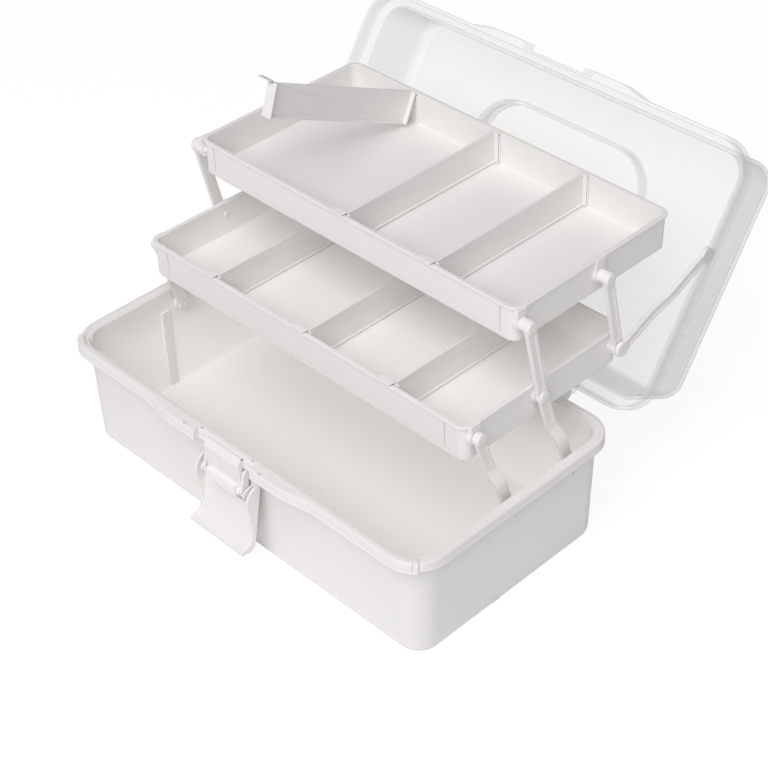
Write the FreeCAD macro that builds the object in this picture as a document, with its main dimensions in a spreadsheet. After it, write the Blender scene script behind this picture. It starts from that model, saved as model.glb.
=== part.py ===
"""Three-layer cantilever storage case with a clear lid and a folding handle.

X runs along the case, Y from its front to its back and Z up.  The origin is the centre of
the tub's underside.  Every piece is built as it stands with the lid open and the trays
spread.  All lengths are in millimetres and all angles in degrees.
"""
import FreeCAD, Part
import math
import os

import Sketcher

Vector = FreeCAD.Vector
document = FreeCAD.newDocument("storage_case")

# ---------------------------------------------------------------- driving dimensions
SIZES = [
    # tub
    ("rim_half_length", 165.0),
    ("rim_half_depth", 91.2),
    ("rim_corner", 24.5),
    ("tub_height", 83.0),
    ("rim_height", 8.4),
    ("rim_overhang", 7.5),
    ("rim_skirt_wall", 1.8),
    ("rim_channel_depth", 6.0),
    ("rim_top_width", 5.5),
    ("rim_step_depth", 1.2),
    ("tub_wall", 2.3),
    ("tub_floor", 2.4),
    ("tub_foot_round", 5.0),
    ("draft_angle", 1.4),
    # trays
    ("lower_tray_half_length", 142.0),
    ("lower_tray_depth", 141.0),
    ("lower_tray_height", 26.0),
    ("upper_tray_half_length", 138.4),
    ("upper_tray_depth", 141.5),
    ("upper_tray_height", 25.0),
    ("tray_corner", 8.0),
    ("tray_foot_round", 2.4),
    ("tray_inside_round", 0.8),
    ("tray_wall", 1.8),
    ("tray_floor", 1.8),
    ("tray_lip_height", 1.6),
    ("tray_lip_overhang", 1.2),
    ("tray_draft_angle", 0.8),
    ("seam_position", 125.0),
    ("seam_width", 0.9),
    ("seam_depth", 0.6),
    ("lower_pivot_below_top", 9.0),
    ("upper_pivot_below_top", 9.8),
    ("lower_tray_front_setback", 9.2),
    ("upper_tray_front_setback", 4.6),
    # linkage
    ("front_pivot_y", 0.8),
    ("base_pivot_drop", 16.2),
    ("base_pivot_spacing", 54.7),
    ("lower_arm_length", 66.0),
    ("lower_arm_lean", 18.3),
    ("upper_arm_length", 59.25),
    ("upper_arm_lean", 13.0),
    ("rear_pivot_spacing", 69.2),
    ("rear_pivot_drop", 1.7),
    ("arm_width", 8.0),
    ("arm_thickness", 3.2),
    ("arm_gap", 0.4),
    ("arm_groove_width", 3.6),
    ("arm_groove_depth", 0.7),
    ("arm_tray_gap", 1.2),
    ("boss_radius", 5.2),
    ("pin_radius", 2.2),
    ("pin_clearance", 0.3),
    ("pin_reach", 1.2),
    # lid
    ("hinge_gap", 5.2),
    ("hinge_drop", 6.8),
    ("lid_open_angle", 122.8),
    ("lid_gap", 0.4),
    ("lid_end_inset", 3.2),
    ("lid_front_overhang", 0.3),
    ("lid_corner", 24.0),
    ("lid_flange_width", 6.0),
    ("lid_flange_height", 12.6),
    ("lid_flange_wall", 2.0),
    ("lid_height", 61.0),
    ("lid_draft_angle", 3.0),
    ("lid_wall", 2.2),
    ("lid_crown_round", 9.0),
    ("lid_link_y", -19.5),
    ("lid_link_rise", 18.1),
    ("recess_half_length", 70.0),
    ("recess_front", 53.0),
    ("recess_back", 8.4),
    ("recess_depth", 13.5),
    ("recess_corner", 28.0),
    ("recess_back_corner", 5.0),
    # handle
    ("handle_half_length", 59.0),
    ("handle_reach", 38.0),
    ("handle_bar", 13.0),
    ("handle_thickness", 8.0),
    ("handle_splay", 9.0),
    ("handle_pivot_rise", 5.4),
    ("handle_pin_radius", 2.0),
    ("handle_post", 5.0),
    ("handle_corner", 12.0),
    # latch
    ("latch_half_width", 25.0),
    ("latch_pivot_gap", 2.4),
    ("latch_pivot_drop", 26.0),
    ("latch_plate_offset", 4.2),
    ("latch_plate", 1.8),
    ("latch_tail", 8.2),
    ("latch_hook_depth", 5.2),
    ("latch_hook", 1.8),
    ("latch_hook_lip", 0.9),
    ("latch_cheek", 2.6),
    ("latch_swing", 170.0),
    ("latch_boss_radius", 3.4),
    ("tongue_half_width", 16.0),
    ("notch_half_width", 29.0),
    ("latch_flank_reach", 3.6),
    ("latch_flank_half_length", 56.0),
    ("latch_flank_taper", 20.0),
    # rear hinges
    ("hinge_position", 95.0),
    ("hinge_knuckle_half", 14.0),
    ("hinge_ear", 4.0),
    ("hinge_barrel_radius", 4.5),
    # dividers
    ("divider_thickness", 1.6),
    ("divider_flange", 8.0),
    ("divider_clearance", 0.3),
    ("divider_foot", 4.0),
    ("divider_foot_height", 1.6),
    ("divider_hook_width", 9.0),
    ("divider_hook_drop", 3.2),
    ("divider_hook_thickness", 1.0),
    ("divider_end_thickness", 1.4),
    ("divider_end_slant", 2.3),
    ("divider_guide_width", 1.0),
    ("divider_guide_depth", 1.2),
    ("lower_divider_left", -78.4),
    ("lower_divider_middle", 6.3),
    ("lower_divider_right", 81.2),
    ("upper_divider_left", -79.6),
    ("upper_divider_middle", -4.5),
    ("upper_divider_right", 70.6),
    ("raised_angle", 25.0),
]

sheet = document.addObject("Spreadsheet::Sheet", "dims")
for row, (alias, number) in enumerate(SIZES, start=1):
    sheet.set(f"A{row}", alias)
    sheet.set(f"B{row}", str(number))
    sheet.setAlias(f"B{row}", alias)
document.recompute()


def dims(text):
    """Write each {name} in a text as a reference to that cell."""
    return text.replace("{", "(dims.").replace("}", ")")


def number(text):
    """The value of a text in which each {name} stands for a cell."""
    return float(sheet.evalExpression(dims(text)))


def tie(item, path, text):
    """Bind one property of an object to a text in which each {name} stands for a cell."""
    item.setExpression(path, dims(text))


# ------------------------------------------------------------------ sketch helpers
def new_body(label):
    body = document.addObject("PartDesign::Body", label)
    body.Label = label
    return body


def new_sketch(body, name, role, offset="0"):
    """A sketch on one of the body's own planes, moved along the plane's normal."""
    sketch = body.newObject("Sketcher::SketchObject", name)
    plane = [item for item in body.Origin.OriginFeatures if item.Role == role][0]
    sketch.AttachmentSupport = [(plane, "")]
    sketch.MapMode = "FlatFace"
    sketch.AttachmentOffset = FreeCAD.Placement(Vector(0, 0, number(offset)), FreeCAD.Rotation())
    tie(sketch, "AttachmentOffset.Base.z", offset)
    return sketch


def pin_point(sketch, geometry, point, across, up):
    """Tie one point of a sketch to two expressions measured from the origin."""
    for kind, expression in (("DistanceX", across), ("DistanceY", up)):
        constraint = Sketcher.Constraint(kind, -1, 1, geometry, point, number(expression))
        index = sketch.addConstraint(constraint)
        tie(sketch, f"Constraints[{index}]", expression)


def polygon(sketch, corners):
    """A closed outline through points given as pairs of expressions."""
    first = sketch.GeometryCount
    points = [Vector(number(across), number(up), 0) for across, up in corners]
    total = len(points)
    for index in range(total):
        following = points[(index + 1) % total]
        sketch.addGeometry(Part.LineSegment(points[index], following), False)
    for index in range(total):
        following = first + (index + 1) % total
        sketch.addConstraint(Sketcher.Constraint("Coincident", first + index, 2, following, 1))
    for index, (across, up) in enumerate(corners):
        pin_point(sketch, first + index, 1, across, up)


def circle(sketch, across, up, radius):
    index = sketch.GeometryCount
    centre = Vector(number(across), number(up), 0)
    sketch.addGeometry(Part.Circle(centre, Vector(0, 0, 1), number(radius)), False)
    pin_point(sketch, index, 3, across, up)
    constraint = sketch.addConstraint(Sketcher.Constraint("Radius", index, number(radius)))
    tie(sketch, f"Constraints[{constraint}]", radius)


def rounded(sketch, half, front, back, corner, back_corner=None):
    """A rectangle from -half to half and front to back; its back corners may be their own."""
    first = sketch.GeometryCount
    back_corner = back_corner or corner
    wide, low, high = number(half), number(front), number(back)
    radius, rear = number(corner), number(back_corner)
    sides = (
        (Vector(radius - wide, low, 0), Vector(wide - radius, low, 0)),
        (Vector(wide, low + radius, 0), Vector(wide, high - rear, 0)),
        (Vector(wide - rear, high, 0), Vector(rear - wide, high, 0)),
        (Vector(-wide, high - rear, 0), Vector(-wide, low + radius, 0)),
    )
    centres = (
        (Vector(wide - radius, low + radius, 0), radius),
        (Vector(wide - rear, high - rear, 0), rear),
        (Vector(rear - wide, high - rear, 0), rear),
        (Vector(radius - wide, low + radius, 0), radius),
    )
    for start, end in sides:
        sketch.addGeometry(Part.LineSegment(start, end), False)
    for turn, (centre, bend) in enumerate(centres):
        bow = Part.Circle(centre, Vector(0, 0, 1), bend)
        begin = math.radians(90 * turn - 90)
        sketch.addGeometry(Part.ArcOfCircle(bow, begin, begin + math.pi / 2), False)
    for turn in range(4):
        arc = first + 4 + turn
        sketch.addConstraint(Sketcher.Constraint("Tangent", first + turn, 2, arc, 1))
        sketch.addConstraint(Sketcher.Constraint("Tangent", arc, 2, first + (turn + 1) % 4, 1))
    for side, kind in ((0, "Horizontal"), (1, "Vertical"), (2, "Horizontal"), (3, "Vertical")):
        sketch.addConstraint(Sketcher.Constraint(kind, first + side))
    sketch.addConstraint(Sketcher.Constraint("Equal", first + 4, first + 7))
    sketch.addConstraint(Sketcher.Constraint("Equal", first + 5, first + 6))
    ties = (
        (Sketcher.Constraint("Radius", first + 4, radius), corner),
        (Sketcher.Constraint("Radius", first + 5, rear), back_corner),
        (Sketcher.Constraint("DistanceX", -1, 1, first + 1, 1, wide), half),
        (Sketcher.Constraint("DistanceX", first + 3, 1, -1, 1, wide), half),
        (Sketcher.Constraint("DistanceY", -1, 1, first, 1, low), front),
        (Sketcher.Constraint("DistanceY", -1, 1, first + 2, 1, high), back),
    )
    for constraint, expression in ties:
        index = sketch.addConstraint(constraint)
        tie(sketch, f"Constraints[{index}]", expression)


# ----------------------------------------------------------------- feature helpers
def extrude(kind, body, sketch, length, reverse=False, both=False, taper="0"):
    """A pad or pocket of the sketch, with its length and taper tied to expressions."""
    feature = body.newObject(kind, f"{sketch.Name}_{kind.split('::')[1].lower()}")
    feature.Profile = sketch
    feature.Reversed = reverse
    feature.Midplane = both
    tie(feature, "Length", length)
    if taper != "0":
        tie(feature, "TaperAngle", taper)
    sketch.Visibility = False
    document.recompute()
    return feature


def pad(body, sketch, length, **options):
    return extrude("PartDesign::Pad", body, sketch, length, **options)


def pocket(body, sketch, length, **options):
    """A pocket that must take something away, or the build stops."""
    before = body.Shape.Volume
    feature = extrude("PartDesign::Pocket", body, sketch, length, **options)
    if not body.Shape.Volume < before - 0.01:
        raise RuntimeError(f"{feature.Name} cuts nothing")
    return feature


def fillet(body, radius, wanted):
    """Round every edge of the body's tip that the test picks."""
    tip = body.Tip
    picked = [f"Edge{i}" for i, edge in enumerate(tip.Shape.Edges, start=1) if wanted(edge)]
    if not picked:
        raise RuntimeError(f"no edge of {body.Label} to round")
    feature = body.newObject("PartDesign::Fillet", f"{body.Label}_round")
    feature.Base = (tip, picked)
    tie(feature, "Radius", radius)
    document.recompute()
    return feature


def level_edge(height):
    """A test for edges that lie flat at one height of the body's own frame."""
    def wanted(edge):
        box = edge.BoundBox
        return abs(box.ZMin - height) < 0.02 and abs(box.ZMax - height) < 0.02
    return wanted


def rectangle(low, high, bottom, top):
    return [(low, bottom), (high, bottom), (high, top), (low, top)]


def place(body, along, up, angle):
    """Put the body's own origin at a point of the middle plane and turn it about X."""
    body.Placement = FreeCAD.Placement(Vector(), FreeCAD.Rotation(Vector(1, 0, 0), 10))
    tie(body, "Placement.Base.y", along)
    tie(body, "Placement.Base.z", up)
    tie(body, "Placement.Rotation.Angle", angle)


def frame(body, name, height, half, depth, corner):
    """A sketch across the case that holds one rounded rectangle, even about both axes."""
    sketch = new_sketch(body, name, "XY_Plane", height)
    rounded(sketch, half, f"-({depth})", depth, corner)
    return sketch


def disc(body, name, side, start, end, along, up, radius, cut=False):
    """A round pad or bore along X between two distances from the middle, on one side."""
    sketch = new_sketch(body, name, "YZ_Plane", f"{side} * ({start})")
    circle(sketch, along, up, radius)
    length = f"({end}) - ({start})"
    if cut:
        return pocket(body, sketch, length, reverse=side > 0)
    return pad(body, sketch, length, reverse=side < 0)


def slab(body, name, side, start, end, corners, cut=False):
    """A polygon of the YZ plane made solid, or cut, between two distances along X."""
    sketch = new_sketch(body, name, "YZ_Plane", f"{side} * ({start})")
    polygon(sketch, corners)
    length = f"({end}) - ({start})"
    if cut:
        return pocket(body, sketch, length, reverse=side > 0)
    return pad(body, sketch, length, reverse=side < 0)


# ------------------------------------------------------------------- shared places
SIDES = (("left", -1), ("right", 1))
BASE_PIVOT_Z = "({tub_height} - {base_pivot_drop})"
HINGE_Y = "({rim_half_depth} + {hinge_gap})"
HINGE_Z = "({tub_height} - {hinge_drop})"
LATCH_Y = "(-{rim_half_depth} - {latch_pivot_gap})"
LATCH_Z = "({tub_height} - {latch_pivot_drop})"
LID_HALF = "({rim_half_length} - {lid_end_inset})"
LID_DEEP = "({rim_half_depth} + {lid_front_overhang})"
FRONT_Y = "({front_pivot_y} - {lower_arm_length} * sin({lower_arm_lean} * 1 deg))"
LOWER_Z = f"({BASE_PIVOT_Z} + {{lower_arm_length}} * cos({{lower_arm_lean}} * 1 deg))"
MIDDLE_Y = f"({FRONT_Y} + {{base_pivot_spacing}})"
REAR_Y = f"({MIDDLE_Y} + {{rear_pivot_spacing}})"
REAR_Z = f"({LOWER_Z} - {{rear_pivot_drop}})"
UPPER_Y = f"({MIDDLE_Y} - {{upper_arm_length}} * sin({{upper_arm_lean}} * 1 deg))"
UPPER_Z = f"({LOWER_Z} + {{upper_arm_length}} * cos({{upper_arm_lean}} * 1 deg))"
LID_BOTTOM = "({tub_height} + {lid_gap})"
LID_TOP = f"({LID_BOTTOM} + {{lid_height}})"
LID_LINK_Z = f"({LID_BOTTOM} + {{lid_link_rise}})"
RECESS_FLOOR = f"({LID_TOP} - {{recess_depth}})"
HANDLE_Z = f"({RECESS_FLOOR} + {{handle_pivot_rise}})"
INNER_ARM_X = "({lower_tray_half_length} + {arm_tray_gap})"
ARM_FACE_X = f"({INNER_ARM_X} + {{arm_thickness}})"
BASE_WALL_X = (
    "({rim_half_length} - {rim_overhang} - {tub_wall}"
    f" - ({{tub_height}} - {BASE_PIVOT_Z}) * tan({{draft_angle}} * 1 deg))"
)
BASE_BOSS_X = f"({BASE_WALL_X} - 2 * {{pin_reach}})"
OUTER_ARM_X = f"({BASE_BOSS_X} - {{pin_clearance}} - {{arm_thickness}})"
LID_WALL_X = (
    f"({LID_HALF} - {{lid_flange_width}} - {{lid_wall}}"
    f" - ({LID_LINK_Z} - {LID_BOTTOM}) * tan({{lid_draft_angle}} * 1 deg))"
)
LID_BOSS_X = f"({LID_WALL_X} - {{arm_groove_depth}})"
LINK_THICKNESS = "({arm_thickness} - {arm_gap})"
OPEN_COSINE = "cos({lid_open_angle} * 1 deg)"
OPEN_SINE = "sin({lid_open_angle} * 1 deg)"


# ---------------------------------------------------------------------------- tub
def build_tub():
    body = new_body("base_tub")
    wall = "{rim_half_length} - {rim_overhang}"
    deep = "{rim_half_depth} - {rim_overhang}"
    bend = "{rim_corner} - {rim_overhang}"
    under_rim = "{tub_height} - {rim_height}"
    taper = "-{draft_angle}"
    block = frame(body, "tub_outside", "{tub_height}", wall, deep, bend)
    pad(body, block, "{tub_height}", reverse=True, taper=taper)
    fillet(body, "{tub_foot_round}", level_edge(0))
    rim = frame(body, "tub_rim", under_rim, "{rim_half_length}", "{rim_half_depth}", "{rim_corner}")
    pad(body, rim, "{rim_height}")
    fillet(body, "{rim_skirt_wall} * 0.6", level_edge(number("{tub_height}")))
    inside = frame(
        body, "tub_inside", "{tub_height}", f"{wall} - {{tub_wall}}", f"{deep} - {{tub_wall}}",
        f"{bend} - {{tub_wall}}",
    )
    pocket(body, inside, "{tub_height} - {tub_floor}", taper=taper)
    fillet(body, "{tub_foot_round} - {tub_wall} * 0.5", level_edge(number("{tub_floor}")))
    step = frame(
        body, "rim_step", "{tub_height}", "{rim_half_length} - {rim_top_width}",
        "{rim_half_depth} - {rim_top_width}", "{rim_corner} - {rim_top_width}",
    )
    pocket(body, step, "{rim_step_depth}")
    channel = frame(
        body, "rim_channel", under_rim, "{rim_half_length} - {rim_skirt_wall}",
        "{rim_half_depth} - {rim_skirt_wall}", "{rim_corner} - {rim_skirt_wall}",
    )
    rounded(channel, wall, f"-({deep})", deep, bend)
    pocket(body, channel, "{rim_channel_depth}", reverse=True)
    add_tongue(body, deep)
    add_base_bosses(body)
    add_ears(body)
    return body


def add_tongue(body, deep):
    """The notch in the rim and the tongue in it that carries the latch."""
    notch = new_sketch(body, "rim_notch", "XY_Plane", "{tub_height} + 1")
    half = "{notch_half_width}"
    polygon(notch, rectangle(f"-{half}", half, "-{rim_half_depth} - 1", f"-({deep})"))
    pocket(body, notch, "{rim_height} + 2")
    root = f"-({deep}) + {{tub_wall}} * 0.6"
    tongue = new_sketch(body, "tongue", "YZ_Plane")
    polygon(tongue, [
        (root, "{tub_height}"),
        ("-{rim_half_depth} - 0.4", "{tub_height}"),
        ("-{rim_half_depth} - 2.4", "{tub_height} - 1.6"),
        ("-{rim_half_depth} - 2.6", "{tub_height} - 4"),
        (f"{LATCH_Y} - 1.4", f"{LATCH_Z} + 1.2"),
        (f"{LATCH_Y} + 0.9", f"{LATCH_Z} - 0.6"),
        ("-{rim_half_depth} + 0.1", "{tub_height} - 5.4"),
        ("-{rim_half_depth} + 1.5", "{tub_height} - 3.2"),
        (root, "{tub_height} - 3.2"),
    ])
    pad(body, tongue, "2 * {tongue_half_width}", both=True)
    barrel = new_sketch(body, "tongue_barrel", "YZ_Plane")
    circle(barrel, LATCH_Y, LATCH_Z, "{latch_boss_radius}")
    pad(body, barrel, "2 * {tongue_half_width}", both=True)
    bore = new_sketch(body, "tongue_bore", "YZ_Plane")
    hole = "{latch_boss_radius} * 0.5 + {pin_clearance}"
    circle(bore, LATCH_Y, LATCH_Z, hole)
    pocket(body, bore, "2 * {tongue_half_width} + 2", both=True)


def add_base_bosses(body):
    """Round bosses inside the end walls that carry the lower ends of the arms."""
    rear = "{front_pivot_y} + {base_pivot_spacing}"
    into_wall = f"{BASE_WALL_X} + {{tub_wall}} * 0.5"
    height = BASE_PIVOT_Z
    for name, side in SIDES:
        for spot, along in (("front", "{front_pivot_y}"), ("rear", rear)):
            label = f"boss_{spot}_{name}"
            disc(body, label, side, BASE_BOSS_X, into_wall, along, height, "{boss_radius} + 0.8")
            disc(
                body, f"{label}_bore", side, f"{BASE_BOSS_X} - 1", BASE_WALL_X, along, height,
                "{pin_radius} + {pin_clearance}", cut=True,
            )


def add_ears(body):
    """Two pairs of hinge ears behind the rim."""
    reach = "{hinge_knuckle_half} + {arm_gap}"
    corners = [
        ("{rim_half_depth} - 1", f"{HINGE_Z} + {{hinge_barrel_radius}}"),
        (HINGE_Y, f"{HINGE_Z} + {{hinge_barrel_radius}}"),
        (HINGE_Y, f"{HINGE_Z} - {{hinge_barrel_radius}}"),
        ("{rim_half_depth} - 1", f"{HINGE_Z} - 0.8"),
    ]
    starts = (
        ("near", f"{{hinge_position}} - ({reach}) - {{hinge_ear}}"),
        ("far", f"{{hinge_position}} + {reach}"),
    )
    for name, side in SIDES:
        for ear, start in starts:
            label, end = f"ear_{ear}_{name}", f"{start} + {{hinge_ear}}"
            slab(body, label, side, start, end, corners)
            disc(
                body, f"{label}_round", side, start, end, HINGE_Y, HINGE_Z,
                "{hinge_barrel_radius}",
            )
            disc(
                body, f"{label}_bore", side, f"{start} - 0.1", f"{end} + 0.1", HINGE_Y,
                HINGE_Z, "{handle_pin_radius} + {pin_clearance}", cut=True,
            )


# -------------------------------------------------------------------------- trays
def build_tray(label, pivots, divider_places, along, up):
    """A tray about its own centre with its floor at z = 0."""
    body = new_body(label)
    half, height = f"{{{label}_half_length}}", f"{{{label}_height}}"
    deep = f"{{{label}_depth}} / 2"
    edge = "{tray_lip_overhang}"
    taper = "-{tray_draft_angle}"
    narrowing = f"{height} * tan({{tray_draft_angle}} * 1 deg)"
    block = frame(
        body, f"{label}_outside", height, f"{half} - {edge}", f"{deep} - {edge}",
        f"{{tray_corner}} - {edge}",
    )
    pad(body, block, height, reverse=True, taper=taper)
    fillet(body, "{tray_foot_round}", level_edge(0))
    lip = frame(body, f"{label}_lip", f"{height} - {{tray_lip_height}}", half, deep, "{tray_corner}")
    pad(body, lip, "{tray_lip_height}")
    outer = f"{half} + {{arm_tray_gap}} - {{pin_clearance}}"
    inner = f"{half} - {edge} - {{tray_wall}} * 0.6 - {narrowing}"
    for name, side in SIDES:
        for spot, (across, rise) in enumerate(pivots):
            disc(body, f"{label}_boss_{spot}_{name}", side, inner, outer, across, rise, "{boss_radius}")
            tab = rectangle(
                f"{across} - {{boss_radius}} * 0.8", f"{across} + {{boss_radius}} * 0.8", rise, height,
            )
            slab(body, f"{label}_tab_{spot}_{name}", side, inner, outer, tab)
    inside = frame(
        body, f"{label}_inside", height, f"{half} - {edge} - {{tray_wall}}",
        f"{deep} - {edge} - {{tray_wall}}", f"{{tray_corner}} - {edge} - {{tray_wall}}",
    )
    pocket(body, inside, f"{height} - {{tray_floor}}", taper=taper)
    fillet(body, "{tray_inside_round}", level_edge(number("{tray_floor}")))
    cut_seams(body, label, deep, height)
    add_guides(body, label, deep, height, divider_places)
    bores = new_sketch(body, f"{label}_bores", "YZ_Plane")
    for across, rise in pivots:
        circle(bores, across, rise, "{pin_radius} + {pin_clearance}")
    pocket(body, bores, f"2 * {half} + 20", both=True)
    place(body, along, up, "0")
    return body


def cut_seams(body, label, deep, height):
    """Two upright grooves in the front face, one near each end."""
    top = f"{height} - 2 * {{tray_lip_height}}"
    seams = new_sketch(body, f"{label}_seams", "XY_Plane", top)
    back = f"-{deep} + {{tray_lip_overhang}} + {{seam_depth}}"
    for middle in ("-{seam_position}", "{seam_position}"):
        low, high = f"{middle} - {{seam_width}} / 2", f"{middle} + {{seam_width}} / 2"
        polygon(seams, rectangle(low, high, f"-{deep} - 1", back))
    pocket(body, seams, f"{height} - 4 * {{tray_lip_height}}")


def add_guides(body, label, deep, height, divider_places):
    """Pairs of small ribs inside the front and back walls that hold the dividers upright."""
    guides = new_sketch(body, f"{label}_guides", "XY_Plane", "{tray_floor} * 0.6")
    wall = f"({deep} - {{tray_lip_overhang}} - {{tray_wall}})"
    near = f"{wall} + {{tray_wall}} * 0.4"
    far = f"{wall} - {height} * tan({{tray_draft_angle}} * 1 deg) - {{divider_guide_depth}}"
    gap = "({divider_flange} / 2 + {divider_clearance})"
    for position in divider_places:
        for sign in (-1, 1):
            start = f"{position} + {sign} * {gap}"
            stop = f"{start} + {sign} * {{divider_guide_width}}"
            for end in (-1, 1):
                polygon(guides, rectangle(start, stop, f"{end} * ({near})", f"{end} * ({far})"))
    pad(body, guides, f"{height} - {{tray_floor}} - {{tray_lip_height}}")


# ----------------------------------------------------------------------- dividers
def build_divider(label, tray, position, tray_front, tray_top, angle="0"):
    """A divider whose own origin is the top of its rear end; it reaches forwards along -Y."""
    body = new_body(label)
    height = f"({{{tray}_height}} - {{tray_floor}} - {{divider_clearance}})"
    inset = (
        "({tray_lip_overhang} + {tray_wall} + {divider_clearance}"
        f" + {{{tray}_height}} * tan({{tray_draft_angle}} * 1 deg))"
    )
    length = f"({{{tray}_depth}} - 2 * {inset})"
    lip = f"({length} + {inset} + {{divider_clearance}})"
    foot = f"({length} - {{divider_end_slant}})"
    end = "{divider_end_thickness}"
    plate = new_sketch(body, f"{label}_plate", "YZ_Plane")
    polygon(plate, [(f"-{foot}", f"-{height}"), ("0", f"-{height}"), ("0", "0"), (f"-{length}", "0")])
    pad(body, plate, "{divider_thickness}", both=True)
    rear = new_sketch(body, f"{label}_rear", "YZ_Plane")
    polygon(rear, rectangle(f"-{end}", "0", f"-{height}", "0"))
    pad(body, rear, "{divider_flange}", both=True)
    front = new_sketch(body, f"{label}_front", "YZ_Plane")
    polygon(front, [
        (f"-{foot}", f"-{height}"),
        (f"-{foot} + {end}", f"-{height}"),
        (f"-{length} + {end}", "0"),
        (f"-{length}", "0"),
    ])
    pad(body, front, "{divider_flange}", both=True)
    rib = new_sketch(body, f"{label}_foot", "XZ_Plane")
    rise = f"-{height} + {{divider_foot_height}}"
    polygon(rib, [
        ("-{divider_foot} / 2", f"-{height}"),
        ("{divider_foot} / 2", f"-{height}"),
        ("{divider_thickness} / 2", rise),
        ("-{divider_thickness} / 2", rise),
    ])
    pad(body, rib, f"{foot}")
    outer = f"-{lip} - {{divider_hook_thickness}}"
    top = "{divider_clearance} + {divider_hook_thickness}"
    hook = new_sketch(body, f"{label}_hook", "YZ_Plane")
    polygon(hook, [
        (f"-{length} + {end}", "-1"),
        (f"-{length} + {end}", top),
        (outer, top),
        (outer, "-{divider_hook_drop}"),
        (f"-{lip}", "-{divider_hook_drop}"),
        (f"-{lip}", "{divider_clearance}"),
        (f"-{length}", "{divider_clearance}"),
        (f"-{length}", "-1"),
    ])
    pad(body, hook, "{divider_hook_width}", both=True)
    place(body, f"{tray_front} + {{{tray}_depth}} - {inset}", tray_top, angle)
    tie(body, "Placement.Base.x", position)
    return body


# --------------------------------------------------------------------------- arms
def build_bar(label, side, low, high, length, thick):
    """A flat bar up the body's own Z axis, from one distance along X below to one above."""
    body = new_body(label)
    lower, upper = f"{length} * 0.36", f"{length} * 0.58"
    bottom, top = "-{arm_width} / 2", f"{length} + {{arm_width}} / 2"
    bar = new_sketch(body, f"{label}_bar", "XZ_Plane")
    outline = [
        (low, bottom), (f"{low} + {thick}", bottom),
        (f"{low} + {thick}", lower), (f"{high} + {thick}", upper),
        (f"{high} + {thick}", top), (high, top),
        (high, upper), (low, lower),
    ]
    polygon(bar, [(f"{side} * ({across})", up) for across, up in outline])
    pad(body, bar, "{arm_width}", both=True)
    ends = (number(bottom), number(top))

    def at_an_end(edge):
        box = edge.BoundBox
        level = max(box.ZLength, box.YLength) < 0.01
        return level and min(abs(box.ZMin - end) for end in ends) < 0.02

    fillet(body, "{arm_width} * 0.48", at_an_end)
    return body


def cut_groove(body, name, side, face, start, stop, turn="0", base="0"):
    """A shallow groove along the outer face of a bar that leans by an angle from Z."""
    half = "{arm_groove_width} / 2"
    corners = [
        (
            f"({along}) * sin({turn}) + ({offset}) * cos({turn})",
            f"{base} + ({along}) * cos({turn}) - ({offset}) * sin({turn})",
        )
        for along, offset in ((start, f"-{half}"), (stop, f"-{half}"), (stop, half), (start, half))
    ]
    slab(body, name, side, f"{face} - {{arm_groove_depth}}", f"{face} + 0.1", corners, cut=True)


def tray_pin(body, label, side, tray_half, outer, along, up):
    """A boss and a pin that reach inwards from an arm through a tray's end wall."""
    face = f"{tray_half} + {{arm_tray_gap}}"
    disc(body, f"{label}_boss", side, face, outer, along, up, "{boss_radius}")
    tip = f"{tray_half} - {{tray_lip_overhang}} - {{tray_wall}} - {{pin_reach}}"
    disc(body, f"{label}_pin", side, tip, f"{face} + 0.5", along, up, "{pin_radius}")


def base_pin(body, label, side):
    """A boss and a pin that reach outwards from an arm into a boss of the tub."""
    face = f"({OUTER_ARM_X} + {{arm_thickness}})"
    disc(body, f"{label}_low_boss", side, OUTER_ARM_X, face, "0", "0", "{boss_radius}")
    tip = f"{BASE_WALL_X} - {{pin_clearance}}"
    disc(body, f"{label}_low_pin", side, f"{face} - 0.5", tip, "0", "0", "{pin_radius}")


def build_lower_arm(label, side, along):
    """A bar from the tub to the lower tray that steps outwards halfway down."""
    length = "{lower_arm_length}"
    body = build_bar(label, side, OUTER_ARM_X, INNER_ARM_X, length, "{arm_thickness}")
    stop = f"{length} - {{boss_radius}} - 1"
    cut_groove(body, f"{label}_groove", side, ARM_FACE_X, f"{length} * 0.62", stop)
    proud = f"{ARM_FACE_X} + {{arm_groove_depth}}"
    tray_pin(body, label, side, "{lower_tray_half_length}", proud, "0", length)
    base_pin(body, label, side)
    place(body, along, BASE_PIVOT_Z, "{lower_arm_lean}")
    return body


def build_long_arm(name, side):
    """An arm from the tub past the lower tray to the upper tray, bent at the middle pivot."""
    label = f"long_arm_{name}"
    body = build_lower_arm(label, side, "{front_pivot_y} + {base_pivot_spacing}")
    bend = "(({lower_arm_lean} - {upper_arm_lean}) * 1 deg)"
    base, reach, half = "{lower_arm_length}", "{upper_arm_length}", "{arm_width} / 2"
    tip = (f"{reach} * sin{bend}", f"{base} + {reach} * cos{bend}")
    lean = (f"{half} * cos{bend}", f"{half} * sin{bend}")
    corners = [
        (f"-{lean[0]}", f"{base} + {lean[1]}"),
        (f"{tip[0]} - {lean[0]}", f"{tip[1]} + {lean[1]}"),
        (f"{tip[0]} + {lean[0]}", f"{tip[1]} - {lean[1]}"),
        (lean[0], f"{base} - {lean[1]}"),
    ]
    slab(body, f"{label}_upper", side, INNER_ARM_X, ARM_FACE_X, corners)
    start, stop = "{boss_radius} + 1", f"{reach} - {{boss_radius}} - 1"
    cut_groove(body, f"{label}_upper_groove", side, ARM_FACE_X, start, stop, bend, base)
    proud = f"{ARM_FACE_X} + {{arm_groove_depth}}"
    tray_pin(body, f"{label}_top", side, "{upper_tray_half_length}", proud, *tip)
    return body


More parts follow.
